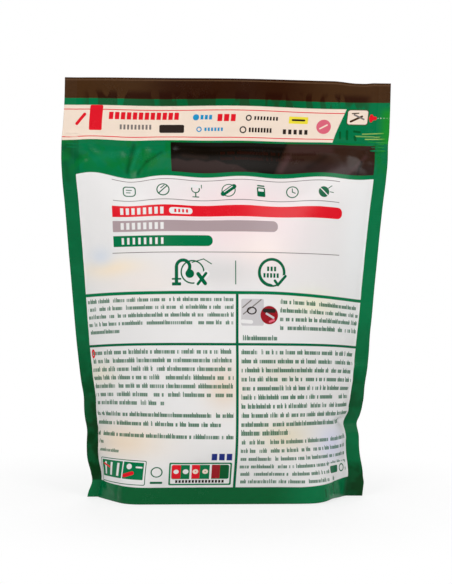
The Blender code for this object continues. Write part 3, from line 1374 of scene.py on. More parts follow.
def icon_row() -> list:
    """A row of small plain signs over the bars.

    Returns:
        The marks, in the order in which they are printed.
    """
    z = 224
    leaf = Ink.LEAF
    return [
        *framed(Field(-73.6, -64.4, z - 3.6, z + 4.6, leaf, 2.6), 0.8, Ink.WHITE, 2),
        *strokes(leaf, (-71, z + 1.6, -67.5, z + 1.6, 0.7), (-71, z - 0.4, -68.5, z - 0.4, 0.7)),
        Ring(-45.5, z, 4.2, 0.8, leaf),
        *strokes(leaf, (-48.5, z - 2.6, -42.6, z + 2.8, 0.8), (-47, z + 1.2, -44.6, z + 3.2, 0.7)),
        Ring(-22.8, z + 1.8, 2.7, 0.8, leaf),
        Field(-26, -19.6, z + 2.8, z + 5.4, Ink.WHITE),
        *strokes(leaf, (-22.8, z - 1, -22.8, z - 4, 0.8), (-24.8, z - 4.3, -20.8, z - 4.3, 0.8),
                 (-18.6, z + 2.8, -18.6, z + 5.2, 0.6), (-3.6, z - 2.4, 4, z + 2.8, 3.6)),
        Stroke(-2.8, z - 1, 3, z + 3, 0.7, Ink.WHITE),
        Ring(0.2, z, 4.6, 0.7, leaf),
        Field(20.2, 26, z - 4.2, z + 3, leaf, 0.9),
        Field(21.2, 25, z - 0.2, z + 2, Ink.WHITE, 0.3),
        Stroke(21, z + 4.2, 25.2, z + 4.2, 1.1, leaf),
        Ring(45.6, z, 4.2, 0.8, leaf),
        *strokes(leaf, (45.6, z, 45.6, z + 2.7, 0.7), (45.6, z, 47.6, z - 1, 0.7)),
        Ring(69, z - 0.4, 2, 4, leaf),
        Stroke(65, z + 3.6, 72.4, z - 3.4, 0.7, Ink.WHITE),
        *strokes(leaf, (72.4, z + 2.4, 75, z + 4.4, 0.6), (73.6, z - 0.2, 76.2, z - 0.4, 0.6)),
    ]


def bar(end: float, tip: float, low: float, high: float, ink: Ink, blocks: tuple) -> list:
    """A bar with a round tip, and on it white blocks between two heights, with their share.

    Args:
        end: Place where its straight part ends.
        tip: Place of its tip.
        low: Its lowest height.
        high: Its highest height.
        ink: Its colour.
        blocks: Lowest and highest height of the blocks, and their share.

    Returns:
        The marks, in the order in which they are printed.
    """
    block_low, block_high, share = blocks
    return [
        Field(-82, end, low, high, ink, 0.4),
        Field(end - 20, tip, low, high, ink, 3.6),
        Blocks(-77, -44.8, block_low, block_high, 4.05, Ink.WHITE, share),
    ]


def upper_marks() -> list:
    """Bars and signs of the pale panel's upper part.

    Returns:
        The marks, in the order in which they are printed.
    """
    leaf = Ink.LEAF
    return [
        Field(-81, 81, 232.1, 232.6, Ink.STONE),
        Field(-81, 81, 216.6, 217.1, Ink.STONE),
        *bar(80, 83.6, 205, 213, Ink.RED, (206.6, 211.4, 0.56)),
        *bar(30, 34.4, 194.4, 202.2, Ink.GREY, (195.9, 200.7, 0.56)),
        *bar(-16, -11.6, 184, 191.6, Ink.GREEN, (185.5, 190.1, 0.42)),
        Field(-41.6, -25.4, 206.6, 211.2, Ink.WHITE, 2.2),
        Blocks(-38.6, -28, 207.7, 210.1, 2.7, Ink.RED, 0.52),
        Field(-83, 83, 179.6, 180.1, Ink.STONE),
        Ring(-32.2, 169.6, 4.6, 2.3, leaf),
        Field(-38.2, -29.4, 158, 169.4, Ink.WHITE),
        Field(-38, -35.6, 158, 169.8, leaf),
        Field(-40, -33.6, 156.6, 158.8, leaf, 0.5),
        Stroke(-39.6, 161.2, -34, 161.2, 1.2, leaf),
        Ring(-25.7, 166, 7.8, 1, leaf),
        Ring(-27.6, 164.8, 1.5, 3, leaf),
        Stroke(-27.6, 165.6, -27.6, 169.2, 1.4, leaf),
        Stroke(-22, 158, -16.2, 164.8, 4.8, Ink.WHITE),
        *strokes(leaf, (-22, 157.6, -16.4, 165, 1.9), (-21.8, 164.6, -17, 158, 2.6),
                 (-26, 172.6, -18, 175, 0.7), (-18, 175, -12.6, 171.6, 0.7)),
        Ring(29.3, 165.6, 9.2, 0.8, leaf),
        Ring(29.8, 166.1, 9, 2, leaf),
        Stroke(31, 159.6, 39.4, 162.4, 4.4, Ink.WHITE),
        *strokes(leaf, (32, 160.4, 34.2, 157.6, 1.9), (34.2, 157.6, 39.8, 163.8, 1.9)),
        Blocks(25.8, 33.3, 166.9, 170.1, 2.5, leaf, 0.62),
        Blocks(23.2, 35.2, 162.4, 165.5, 2.4, leaf, 0.62),
        Field(3.8, 4.5, 157.5, 174, leaf),
        Field(-107, 107, 150.7, 152.9, Ink.GREEN),
    ]


def shoulder_fold_shading() -> list:
    """Painted shade in the folds above the pale panel and painted highlights on them: soft dark, pale and
    other green lines.

    Returns:
        The strokes, in the order in which they are laid on.
    """
    return [
        # Dark strokes are painted shade in the folds; pale strokes are painted highlights on their ridges.
        *strokes(Ink.SHADE_GREEN, (-70, 240, -65, 260, 2.4, 1.8, 0.60),
                 (-62.5, 238.5, -55.8, 248, 1.6, 1.4, 0.60), (-55.8, 248, -45.5, 254.5, 1.6, 1.4, 0.50)),
        *strokes(Ink.GRASS, (-92, 252, -76, 239, 1.8, 2, 0.60),
                 (-59, 242, -50, 246, 4, 3, 0.50)),
        *strokes(Ink.SHADE_GREEN, (-112, 258, -104, 250, 5, 3, 0.40)),
        *strokes(Ink.EMERALD, (-66.6, 243, -61.5, 257, 2.2, 1.6, 0.60),
                 (-92, 246, -80, 253, 6, 5, 0.40)),
        *strokes(Ink.SHADE_GREEN, (-112.5, 246, -111, 232, 3, 2.4, 0.35)),
    ]


def foot_crease_shade() -> list:
    """Painted shade in short creases in the green border at the lower right."""
    creases = ((82.6, 12.5, 82.4, 7.5), (72, 9.5, 72.2, 3.5))
    return [Stroke(*ends, 0.9, Ink.SHADE_GREEN, 0.5, 0.8) for ends in creases]


def dark_panel_ticks_and_sheen() -> list:
    """Faint printed ticks of the dark brown panel, and painted reflections and painted shade on its creased
    facets.

    Returns:
        The marks, in the order in which they are laid on.
    """
    return [
        Words(-4, 66, 256.6, 4.6, 2, 2.2, Ink.MAROON, 0.7, 51, last=0.85, breadth=1.7),
        # Pale strokes are painted reflections on the facets; dark ones are painted shade in the folds.
        Stroke(38, 241, 44, 252, 3.4, Ink.FACET_SHEEN, 2.2, 0.40),
        Stroke(58, 243, 70, 252, 3.6, Ink.OLIVE, 3, 0.50),
        *strokes(Ink.FACET_SHEEN, (76, 241, 86, 244, 5, 4, 0.22),
                 (46, 258, 74, 258, 4, 3, 0.30), (88, 240, 99.5, 254, 2.2, 1.6, 0.35)),
        Stroke(94, 239.5, 96.5, 250, 1.8, Ink.OLIVE, 1, 0.70),
        Stroke(-30, 252, -14, 251, 2, Ink.SHEEN_UMBER, 2.4, 0.45),
    ]


def lower_marks() -> list:
    """Rules, pictures and lines of ticks of the pale panel's lower part.

    Returns:
        The marks, in the order in which they are printed.
    """
    leaf = Ink.LEAF
    left = (-105, 2.6)
    right = (8, 104)
    return [
        Field(-107, 107, 150.7, 152.9, Ink.GREEN),
        Field(-107, 107, 115.2, 117, leaf),
        Field(4.2, 6.1, 12, 151.2, leaf),
        Words(*left, 149.4, 5.35, 5, 2.2, leaf, 0.95, 21, last=0.24, gap=0.17, breadth=1.35),
        Field(8, 24, 129, 147.6, Ink.PALE_GREY, 1.2),
        *strokes(Ink.STONE, (9.5, 137, 22, 147, 0.8), (9, 141.5, 15, 146.6, 0.8)),
        Ring(15.4, 139.4, 3, 1.1, Ink.BLACK, 1.3),
        Stroke(9, 132, 15, 131.6, 2.6, Ink.WHITE),
        Ring(28, 136.4, 3.2, 6.4, Ink.DARK_RED),
        Stroke(24.6, 139.6, 31.4, 139.4, 2.8, Ink.BLACK),
        Stroke(26, 137.4, 31, 134.6, 1.5, Ink.PALE_GREY),
        Stroke(28.4, 131.8, 31.4, 133, 1.5, Ink.ROSE),
        Words(36, 105, 148.6, 6.1, 4, 2.5, leaf, 1, 22, gap=0.17),
        Words(8, 34, 122.9, 6, 1, 2.5, leaf, 1, 23, gap=0.22),
        Words(*left, 113.5, 5.98, 7, 2.5, leaf, 0.95, 24, last=0.55, gap=0.17),
        Words(*left, 69.6, 6.4, 2, 2.4, leaf, 1, 25, last=0.93, gap=0.17),
        Words(*left, 54.6, 6, 1, 2.4, leaf, 1, 26, gap=0.17),
        Words(-105, -99, 48.6, 6, 1, 2.2, leaf, 0.9, 27),
        Words(-103, -82, 41.8, 5, 1, 2, leaf, 0.9, 28, gap=0),
        Words(*right, 113.3, 6.25, 9, 2.5, leaf, 1, 29, last=0.93, gap=0.18),
        Words(8, 44, 57.2, 6, 1, 2.8, leaf, 1, 31, gap=0.1),
        Words(*right, 51, 6.25, 6, 2.4, leaf, 0.95, 32, last=0.82, gap=0.16, breadth=1.35),
        Field(79, 103, 19.6, 29.4, Ink.WHITE),
        Field(80.5, 92, 21.4, 27.4, leaf, 1.4),
        Ring(98, 24.4, 2.9, 1, leaf),
        *framed(Field(-102, -57.2, 14.2, 33.6, leaf, 1.2), 0.6, Ink.WHITE, 0.9),
        Field(-100.2, -76.6, 18.4, 32, Ink.GREEN, 0.6),
        Field(-75.6, -59, 18.4, 32, Ink.GREEN, 0.6),
        Blocks(-99.2, -77.6, 20, 30.4, 7.4, Ink.WHITE, 0.30),
        Stroke(-98, 28.6, -90, 26.4, 1.4, Ink.RED),
        Ring(-70.6, 28.4, 1.1, 2.2, Ink.WHITE),
        Stroke(-74, 21, -67.6, 23.4, 3, Ink.RED),
        Stroke(-64.6, 28.2, -60.6, 28.2, 1.3, Ink.WHITE),
        Ring(-49.5, 25, 3.8, 0.9, leaf),
        Field(-53.8, -45.2, 15.6, 17.4, leaf, 0.6),
        *framed(Field(-41, 2.6, 14.4, 33, Ink.GREEN, 1.2), 1.2, Ink.WHITE, 0.8),
        Field(-39.2, 0.8, 19.4, 31.2, Ink.GREEN, 1.4),
        Field(-39, -32.8, 19.8, 31.2, Ink.RED, 1),
        Field(-25.6, -19.6, 19.8, 31.2, Ink.RED, 1),
        Field(-11.6, -5.6, 19.8, 31.2, Ink.DARK_RED, 1),
        Field(-5.6, 0.2, 19.8, 31.2, Ink.DARK_LEAF, 1),
        Field(-26.6, -25.2, 19.4, 31.6, Ink.WHITE),
        Field(-12.8, -11.4, 19.4, 31.6, Ink.WHITE),
        Ring(-36, 25.6, 0.9, 1.8, Ink.WHITE),
        Ring(-29.4, 25.6, 1, 2, Ink.WHITE),
        Ring(-22.6, 25.6, 1.2, 1.6, Ink.CREAM),
        Ring(-15.8, 25.6, 1.2, 1.6, Ink.CREAM),
        Blocks(-36.6, -2.2, 16.3, 18.6, 2.3, Ink.BLACK, 0.7),
        Blocks(-12.6, 3, 34.8, 40, 5.2, Ink.DEEP_BLUE, 0.74),
        Ring(-103.4, 110.6, 1.2, 0.9, Ink.RED, 0.5),
    ]


def back_marks() -> list:
    """Plain print of the back film: a field with three tablets, bands and blocks.

    Returns:
        The marks, in the order in which they are printed.
    """
    marks = [
        Field(-200, 200, 263.4, 287.6, Ink.CREAM),
        Field(-200, 200, 284.2, 284.9, Ink.RED),
        Field(-200, 200, 265.3, 266, Ink.RED),
        *framed(Field(-86, 86, 128, 226, Ink.PANEL, 12), 2.4, Ink.CREAM, 10),
        Blocks(-60, 60, 204, 214, 12, Ink.RED, 0.70),
        Blocks(-40, 40, 193.6, 198, 5, Ink.PANEL, 0.60),
        Field(-200, 200, 38, 42, Ink.RED),
        Field(-200, 200, 30, 36, Ink.CREAM),
        Blocks(-28, 28, 84, 92, 8, Ink.CREAM, 0.62),
    ]
    for middle in (-48, 0, 48):
        sides = (middle - 15.8, middle + 15.8)
        marks += [
            *framed(Field(middle - 17, middle + 17, 143, 181, Ink.PALE_GREY, 6), 1.2, Ink.WHITE, 5),
            Field(*sides, 162, 179.8, Ink.EMERALD, 5),
            Field(*sides, 162, 166, Ink.EMERALD),
            Ring(middle, 155, 2.6, 5.2, Ink.BLUE, 1.4),
        ]
    return marks


class FilmPrint(Bench):
    """Draws one film's print, with its painted shade, highlights and reflections, in a material; places on it
    are millimetres on the film.
    """

    def __init__(self, tree: bpy.types.NodeTree, groups: dict) -> None:
        """Works on one material's tree with the groups that draw marks.

        Args:
            tree: The material's node tree.
            groups: Node groups by kind of mark.
        """
        super().__init__(tree)
        self.groups = groups
        flat = self.split(self.node("ShaderNodeUVMap", uv_map=FILM_UV).outputs[0])
        self.across = flat[0] * PER_METRE
        self.height = flat[1] * PER_METRE

    def group(self, kind: object, inputs: dict) -> bpy.types.Node:
        """A placed node group that knows its place on the film."""
        places = {"across": self.across, "height": self.height}
        return self.node("ShaderNodeGroup", {**places, **inputs}, node_tree=self.groups[kind])

    def mask(self, mark: Mark, **places: Value) -> Value:
        """The mask of one printed mark."""
        return Value(self, self.group(type(mark), {**mark.numbers(), **places}).outputs[0])

    def drawn(self, colour: object, marks: list) -> object:
        """A colour with marks printed over it in order.

        Args:
            colour: Colour under the marks.
            marks: The marks, in the order in which they are printed.

        Returns:
            The printed colour.
        """
        for mark in marks:
            colour = self.blend(self.mask(mark), colour, mark.ink)
        return colour

    def seen_through(self, colour: object) -> object:
        """Dark blotches along the header, where the other film's print shows through.

        Args:
            colour: Colour of the header.

        Returns:
            The colour with blotches.
        """
        blotch = self.noise((self.across * 0.16, self.height * 0.05, 0.7), 1.0).ramp(0.44, 0.52)
        rows = self.height.ramp(286.4, 288.0) * self.height.ramp(295.0, 300.0, 1.0, 0.0)
        inner = abs(self.across).ramp(96.0, 104.0, 1.0, 0.0)
        over_green = self.height.ramp(291.8, 293.0, 0.42, 0.80)
        return self.blend(blotch * inner * rows * over_green, colour, Ink.MAROON)

    def strip_and_green(self) -> object:
        """The green ground with the brown strip along the top.

        Returns:
            The colour.
        """
        middle = self.across.ramp(-70.0, -36.0) * self.across.ramp(34.0, 78.0, 1.0, 0.0) * 0.75
        band = self.blend(middle, Ink.BROWN, Ink.MAROON)
        band = self.drawn(band, [Field(-200, 200, 304.9, 305.7, Ink.TAN)])
        ground = self.blend(middle, Ink.GREEN, Ink.DARK_LEAF)
        in_band = self.mask(Field(-200, 200, 292.4, 400, Ink.BROWN))
        return self.seen_through(self.blend(in_band, ground, band))

    def header(self) -> object:
        """Print of the front film's header, with painted highlights on the crushed end of the strip.

        Returns:
            The colour.
        """
        slant = (287.0 - self.height) * 0.36 + self.across
        band = self.mask(Field(-200, 84, 263.4, 287.6, Ink.CREAM), across=slant)
        colour = self.blend(band, self.strip_and_green(), self.drawn(Ink.CREAM, header_marks()))
        colour = self.drawn(colour, header_end_marks())
        dotted = self.mask(Field(107, 116, 281.2, 281.8, Ink.WHITE))
        dots = self.across.to_and_fro(1.0) > 0.55
        colour = self.blend(dotted * dots, colour, Ink.WHITE)
        rim = self.across.ramp(106.0, 113.0) * (self.height.ramp(284.0, 291.0, 1.0, 0.0) * 0.8)
        return self.blend(rim, colour, Ink.BRIGHT_GREEN)

    def border(self) -> object:
        """Green of the side borders, with patchy painted shade: darker low on the left, round the right kink
        and low on the right, and along the foot.

        Returns:
            The colour.
        """
        across, height = self.across, self.height
        value = self.noise((across * 0.10, height * 0.075, 5.1), 2.0, roughness=0.6)
        # Painted shade: the left border darker towards the bottom.
        left = height.ramp(56.0, 140.0, 1.0, 0.34) * height.ramp(12.6, 14.6)
        left = left * across.ramp(-104.0, -103.0, 1.0, 0.0)
        # Painted shade on the right border: darkest low down and round the kink, fading above 110 mm.
        shade_above_kink = abs(height - 80.0).ramp(6.0, 26.0, 0.75, 0.36)
        right = height.ramp(20.0, 36.0, 1.0, 0.0).most(shade_above_kink) * across.ramp(101.0, 107.0)
        right = right * height.ramp(110.0, 150.0, 1.0, 0.2)
        # Noise makes the painted shade patchy.
        patch = value.ramp(0.36, 0.58, 0.74, 1.0)
        colour = self.blend(left.most(right) * patch, Ink.GREEN, Ink.SHADE_GREEN)
        # Painted shade: a darker band along the foot, weaker towards the right.
        foot = height.ramp(11.0, 16.0, 1.0, 0.0) * abs(across).ramp(66.0, 96.0, 0.85, 0.35)
        colour = self.blend(foot * across.ramp(30.0, 60.0, 1.0, 0.2), colour, Ink.DARK_LEAF)
        shoulder = height.ramp(228.0, 250.0) * value.ramp(0.44, 0.56, 0.0, 0.7)
        return self.blend(shoulder, colour, Ink.GRASS)

    def dark_panel(self, marks: list) -> object:
        """The dark brown panel with its turned end and its marks, and a painted reflection: its lower part
        and its turned end in lighter browns.

        Args:
            marks: Printed ticks, painted reflections and painted shade, in the order in which they are laid
                on.

        Returns:
            The colour.
        """
        across, height = self.across, self.height
        # Painted reflection: below a wavy edge the panel turns to a lighter brown.
        edge = across.to_and_fro(7.0) * 0.26 + across.ramp(-12.0, 27.0, 248.0, 237.0)
        dark = self.blend((height - edge).ramp(-1.4, 1.0), Ink.PANEL, Ink.OLIVE)
        # Painted reflection on the turned end: lighter browns in place of the dark top.
        turned = ((height - 239.0) * -0.44 + across).ramp(32.0, 35.0)
        turned_end_sheen = self.blend(height.ramp(242.0, 252.0), Ink.PANEL, Ink.SHEEN_UMBER)
        return self.drawn(self.blend(turned, dark, turned_end_sheen), marks)

    def panel(self, low: float, high: float, marks: list, border_fold_shading: list, dark_ticks_and_sheen: list) -> object:
        """The pale panel on the green ground, between two heights.

        Args:
            low: The lower height.
            high: The upper height.
            marks: What is printed on the pale panel.
            border_fold_shading: Painted shade and painted highlights of folds on the green ground.
            dark_ticks_and_sheen: Printed ticks, painted reflections and painted shade on the dark panel.

        Returns:
            The colour.
        """
        lift = (self.across - 52.0).most(0.0) * 0.055 + self.across.ramp(-107.0, -60.0, 1.0, 0.0)
        pale = self.mask(Field(-106, 106.3, 12.6, 400.0, Ink.WHITE, 0.5), height=self.height - lift)
        pale = pale * self.mask(Field(-106, 106.3, 0.0, 235.0, Ink.WHITE, 0.5))
        in_dark = self.mask(Field(-39, 106, 238.3, 262.0, Ink.PANEL, 0.4))
        ground = self.blend(in_dark, self.drawn(self.border(), border_fold_shading), self.dark_panel(dark_ticks_and_sheen))
        tints = [tint for tint in PANEL_TINTS if tint.touches(low, high)]
        return self.blend(pale, ground, self.drawn(Ink.WHITE, tints + marks))

    def upper(self) -> object:
        """Print of the front film between the header and the lines of ticks, with painted shade and
        highlights on its folds and borders, and a painted reflection on the dark panel.
        """
        marks = upper_marks() + icon_row()
        return self.panel(PANEL_SPLIT, PANEL_TOP, marks, shoulder_fold_shading(), dark_panel_ticks_and_sheen())

    def lower(self) -> object:
        """Print of the lower part of the front film, with painted shade on its green borders and in creases
        at the foot.
        """
        return self.panel(0.0, PANEL_SPLIT, lower_marks(), foot_crease_shade(), [])

    def back(self) -> object:
        """Print of the back film."""
        return self.drawn(self.strip_and_green(), back_marks())


@dataclass(frozen=True)
class FilmLook:
    """How the printed film looks: its node groups, its gloss and its fine relief."""

    groups: dict
    gloss: float = 0.25
    relief: float = 0.00006
    specular: float = 0.11

    def material(self, name: str, colouring: Callable) -> bpy.types.Material:
        """A film material whose colour is made by a method of FilmPrint.

        Args:
            name: Name of the material.
            colouring: Method of FilmPrint that gives the colour.

        Returns:
            The material.
        """
        material, shader = new_material(name)
        film = FilmPrint(material.node_tree, self.groups)
        surface = film.group("surface", {"gloss": self.gloss}).outputs
        relief = {"Strength": 1.0, "Distance": self.relief, "Height": surface["Relief"]}
        bump = film.node("ShaderNodeBump", relief)
        film.wire(shader, {"Base Color": colouring(film), "Roughness": surface["Roughness"],
                           "Specular IOR Level": self.specular, "Normal": bump.outputs[0]})
        return material


def new_material(name: str) -> tuple:
    """A new material and its main shader node.

    Args:
        name: Name of the material.

    Returns:
        The material and its shader node.
    """
    material = bpy.data.materials.new(name)
    material.use_nodes = True
    return material, material.node_tree.nodes["Principled BSDF"]


@dataclass
class StripEndRidges:
    """Short ridges where the ends of the press-to-close strip are crushed into the side seals."""

    form: FilmForm
    folds: FilmFolds
    count: int = 5
    pitch: float = 0.0024
    length: float = 0.0105
    breadth: float = 0.0013
    rise: float = 0.00034
    inset: float = 0.0072
    seed: int = 11
    least_size: tuple = (0.55, 0.8, 0.6)
    most_size: tuple = (1.1, 1.2, 1.2)

    def tree(self, material: bpy.types.Material) -> bpy.types.NodeTree:
        """The Geometry Nodes tree: long low ridges one over another.

        Args:
            material: Material of the ridges.

        Returns:
            The node tree.
        """
        tree = bpy.data.node_groups.new("strip_end_ridges", "GeometryNodeTree")
        kinds = {"Geometry": "Geometry", "Count": "Int", "Seed": "Int"}
        kinds |= {label: "Vector" for label in ("Start", "Step", "Size")}
        for label, kind in kinds.items():
            tree.interface.new_socket(name=label, in_out="INPUT", socket_type="NodeSocket" + kind)
        tree.interface.new_socket(name="Geometry", in_out="OUTPUT", socket_type="NodeSocketGeometry")
        bench = Bench(tree)
        given = bench.node("NodeGroupInput").outputs
        places = {"Count": given["Count"], "Start Location": given["Start"], "Offset": given["Step"]}
        line = bench.node("GeometryNodeMeshLine", places, mode="OFFSET").outputs[0]
        ball = bench.node("GeometryNodeMeshUVSphere", {"Segments": 20, "Rings": 10, "Radius": 0.5}).outputs[0]
        shaped = bench.node("GeometryNodeTransform", {"Geometry": ball, "Scale": given["Size"]}).outputs[0]
        sizes = {0: self.least_size, 1: self.most_size, "Seed": given["Seed"]}
        vary = bench.node("FunctionNodeRandomValue", sizes, data_type="FLOAT_VECTOR").outputs[0]
        copies = {"Points": line, "Instance": shaped, "Scale": vary}
        ridges = bench.node("GeometryNodeInstanceOnPoints", copies).outputs[0]
        for kind in ("GeometryNodeRealizeInstances", "GeometryNodeSetShadeSmooth"):
            ridges = bench.node(kind, {0: ridges}).outputs[0]
        coat = bench.node("GeometryNodeSetMaterial", {"Geometry": ridges, "Material": material})
        bench.node("NodeGroupOutput", {0: coat.outputs[0]})
        return tree

    @property
    def lowest(self) -> float:
        """Film height of the lowest ridge."""
        return self.form.zip_height - self.pitch * (self.count - 1) / 2.0

    def place(self, side: Side, end: int) -> tuple:
        """Where the lowest ridge of one end lies on one film.

        Args:
            side: Which film it is.
            end: -1 for the left end and 1 for the right one.

        Returns:
            X, y and z in metres.
        """
        across = np.array([end * (self.form.width / 2.0 - self.inset)])
        height = np.array([self.lowest])
        out, centre, up, half = self.form.grid(across, height)
        x = out + self.folds.sway(across, height)
        y = centre + side.value * half - self.folds.shared(across, height)
        return x[0, 0], y[0, 0], up[0, 0]

    def build(self, name: str, material: bpy.types.Material) -> bpy.types.Object:
        """All ridges of both films and both ends, as one mesh.

        Args:
            name: Name of the piece.
            material: Material of the ridges.

        Returns:
            The piece.
        """
        tree = self.tree(material)
        sockets = {item.name: item.identifier for item in tree.interface.items_tree if item.in_out == "INPUT"}
        meshes = []
        for index, (side, end) in enumerate([(s, e) for s in Side for e in (-1, 1)]):
            carrier = bpy.data.objects.new("ridge_carrier", bpy.data.meshes.new("ridge_carrier"))
            bpy.context.scene.collection.objects.link(carrier)
            modifier = carrier.modifiers.new("ridges", "NODES")
            modifier.node_group = tree
            settings = {"Count": self.count, "Start": self.place(side, end), "Step": (0.0, 0.0, self.pitch),
                        "Size": (self.length, self.rise * 2.0, self.breadth), "Seed": self.seed + index}
            for label, setting in settings.items():
                modifier[sockets[label]] = setting
            graph = bpy.context.evaluated_depsgraph_get()
            meshes.append(bpy.data.meshes.new_from_object(carrier.evaluated_get(graph)))
            carrier.modifiers.clear()
            bpy.data.objects.remove(carrier)
        ridges = joined_meshes(name, meshes)
        points = np.array([vertex.co for vertex in ridges.data.vertices])
        heights = points[:, 2] - self.place(Side.FRONT, 1)[2] + self.lowest
        add_point_uv(ridges, np.stack([points[:, 0], heights], axis=-1))
        return ridges


def joined_meshes(name: str, meshes: list) -> bpy.types.Object:
    """One smooth object from several meshes.

    Args:
        name: Name of the object.
        meshes: Meshes in one frame.

    Returns:
        The new object.
    """
    points = []
    faces = []
    for mesh in meshes:
        first = len(points)
        points += [tuple(vertex.co) for vertex in mesh.vertices]
        faces += [tuple(first + i for i in polygon.vertices) for polygon in mesh.polygons]
    return new_object(name, np.array(points), faces)


def dress(piece: bpy.types.Object, zones: list) -> None:
    """Gives a piece its materials by height on the film, and says what it stands for.

    Args:
        piece: The piece, with its film map.
        zones: Pairs of upper height and material, from the base up.
    """
    for _, material in zones:
        piece.data.materials.append(material)
    flat = np.zeros(len(piece.data.loops) * 2, dtype=np.float32)
    piece.data.uv_layers[FILM_UV].data.foreach_get("uv", flat)
    starts = np.zeros(len(piece.data.polygons), dtype=np.int32)
    piece.data.polygons.foreach_get("loop_start", starts)
    heights = flat.reshape(-1, 2)[starts, 1]
    index = np.searchsorted([top for top, _ in zones[:-1]], heights).astype(np.int32)
    piece.data.polygons.foreach_set("material_index", index)
    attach(piece, BODY)
    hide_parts(NODE)
    log.info("%s: %d faces", piece.name, len(piece.data.polygons))


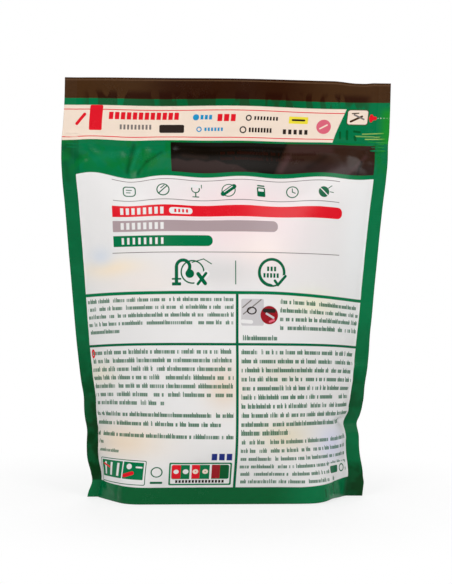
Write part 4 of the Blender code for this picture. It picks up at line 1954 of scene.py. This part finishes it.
@dataclass
class Studio:
    """Floor, soft light and the camera of the photograph."""

    azimuth: float = -6.37
    elevation: float = 4.43
    roll: float = 0.85
    distance: float = 1.6
    focal_pixels: float = 2266.3
    image_width: int = 452
    image_height: int = 584
    target_height: float = 0.148
    target_pixel: tuple = (223.96, 288.66)
    floor_size: float = 12.0
    floor_drop: float = 0.0002
    floor_white: float = 0.75
    world_light: float = 0.28
    room_light: float = 0.06

    def floor(self) -> None:
        """A plain pale floor that keeps the shadow and turns white away from the object."""
        half = self.floor_size / 2.0
        turns = ((-half, -half), (half, -half), (half, half), (-half, half))
        corners = np.array([(x, y, -self.floor_drop) for x, y in turns])
        plane = new_object("floor", corners, [(0, 1, 2, 3)])
        material, shader = new_material("floor")
        bench = Bench(material.node_tree)
        bench.wire(shader, {"Base Color": (0.90, 0.90, 0.90, 1.0), "Roughness": 0.9})
        place = bench.node("ShaderNodeTexCoord").outputs["Object"]
        length = bench.node("ShaderNodeVectorMath", {0: place}, operation="LENGTH")
        far = Value(bench, length.outputs["Value"]).ramp(0.08, 0.26, self.floor_white, 1.0)
        seen = bench.ray("Camera").most(bench.ray("Glossy").most(bench.ray("Transmission")))
        white = bench.node("ShaderNodeEmission", {"Strength": 1.0})
        mix = bench.node("ShaderNodeMixShader", {0: far * seen, 1: shader.outputs[0], 2: white.outputs[0]})
        bench.wire(material.node_tree.nodes["Material Output"], {"Surface": mix.outputs[0]})
        plane.data.materials.append(material)

    def world(self) -> None:
        """A white background for the camera and a softer one as light."""
        world = bpy.data.worlds.new("studio")
        bpy.context.scene.world = world
        world.use_nodes = True
        bench = Bench(world.node_tree)
        camera, glossy, through = bench.ray("Camera"), bench.ray("Glossy"), bench.ray("Transmission")
        along = bench.split(bench.node("ShaderNodeTexCoord").outputs["Generated"])[1]
        backdrop = along.ramp(-0.45, 0.15, self.room_light, 1.0)
        seen = camera.most(through).most(glossy * backdrop)
        rest = 1.0 - camera.most(through.most(glossy))
        looks = {"Color": (1.0, 1.0, 1.0, 1.0), "Strength": rest * self.world_light + seen}
        bench.wire(world.node_tree.nodes["Background"], looks)

    def lamp(self, name: str, place: tuple, size: tuple, power: float) -> None:
        """A soft rectangular lamp aimed at the object's middle.

        Args:
            name: Name of the lamp.
            place: Its place, in metres.
            size: Its width and height, in metres.
            power: Its power, in watts.
        """
        data = bpy.data.lights.new(name, "AREA")
        data.shape = "RECTANGLE"
        data.size, data.size_y = size
        data.energy = power
        lamp = bpy.data.objects.new(name, data)
        lamp.location = place
        aim = Vector((0.0, 0.0, self.target_height)) - lamp.location
        lamp.rotation_euler = aim.to_track_quat("-Z", "Y").to_euler()
        bpy.context.scene.collection.objects.link(lamp)

    def camera(self) -> None:
        """The photograph's camera: place, lens and tilt."""
        azimuth, elevation = math.radians(self.azimuth), math.radians(self.elevation)
        level = Vector((-math.sin(azimuth), math.cos(azimuth), 0.0))
        view = level * math.cos(elevation) - Vector((0.0, 0.0, math.sin(elevation)))
        right = Vector((math.cos(azimuth), math.sin(azimuth), 0.0))
        up = right.cross(view)
        target = Vector((0.0, 0.0, self.target_height))
        eye = target - view * self.distance
        per_pixel = self.distance / self.focal_pixels
        aside = (self.image_width / 2.0 - self.target_pixel[0]) * per_pixel
        below = (self.target_pixel[1] - self.image_height / 2.0) * per_pixel
        look = (target + right * aside + up * below - eye).normalized()
        data = bpy.data.cameras.new("camera")
        data.sensor_width = 36.0
        data.lens = data.sensor_width * self.focal_pixels / max(self.image_width, self.image_height)
        camera = bpy.data.objects.new("camera", data)
        side = look.cross(up).normalized()
        turn = Matrix((side, side.cross(look), -look)).transposed().to_4x4()
        roll = Matrix.Rotation(math.radians(self.roll), 4, "Z")
        camera.matrix_world = Matrix.Translation(eye) @ turn @ roll
        bpy.context.scene.collection.objects.link(camera)
        bpy.context.scene.camera = camera

    def build(self) -> None:
        """Makes the whole studio."""
        self.floor()
        self.world()
        self.lamp("key_lamp", (1.1, -1.9, 1.3), (0.9, 0.9), 20.0)
        self.lamp("fill_lamp", (-1.3, -1.7, 1.3), (0.9, 0.9), 20.0)
        self.lamp("top_lamp", (0.0, -0.3, 1.9), (1.6, 1.0), 6.0)
        self.lamp("back_lamp", (0.4, 1.9, 1.3), (1.4, 1.0), 20.0)
        self.camera()
        bpy.context.scene.view_settings.view_transform = "Standard"


def main() -> None:
    """Builds the pouch's pieces, dresses them and sets up the studio."""
    logging.basicConfig(level=logging.INFO)
    form = FilmForm()
    folds = FilmFolds(form)
    film = PouchFilm(form, folds)
    groups = {kind: kind.group() for kind in Mark.__subclasses__()}
    groups["surface"] = node_group("film_surface", ["across", "height", "gloss"], film_surface)
    look = FilmLook(groups)
    front_looks = [
        (PANEL_SPLIT * MM, look.material("front_lower_film", FilmPrint.lower)),
        (PANEL_TOP * MM, look.material("front_upper_film", FilmPrint.upper)),
        (form.height, look.material("front_header_film", FilmPrint.header)),
    ]
    back_look = look.material("back_film", FilmPrint.back)
    plain = look.material("plain_film", lambda film_print: Ink.GREEN)
    dress(film.build(Side.FRONT, "front_film"), front_looks)
    dress(film.build(Side.BACK, "back_film"), [(form.height, back_look)])
    dress(BaseGusset(form).build("base_gusset"), [(form.height, plain)])
    ridged = front_looks[-1][1]
    dress(StripEndRidges(form, folds).build("strip_end_ridges", ridged), [(form.height, ridged)])
    Studio().build()


if __name__ == "__main__":
    main()
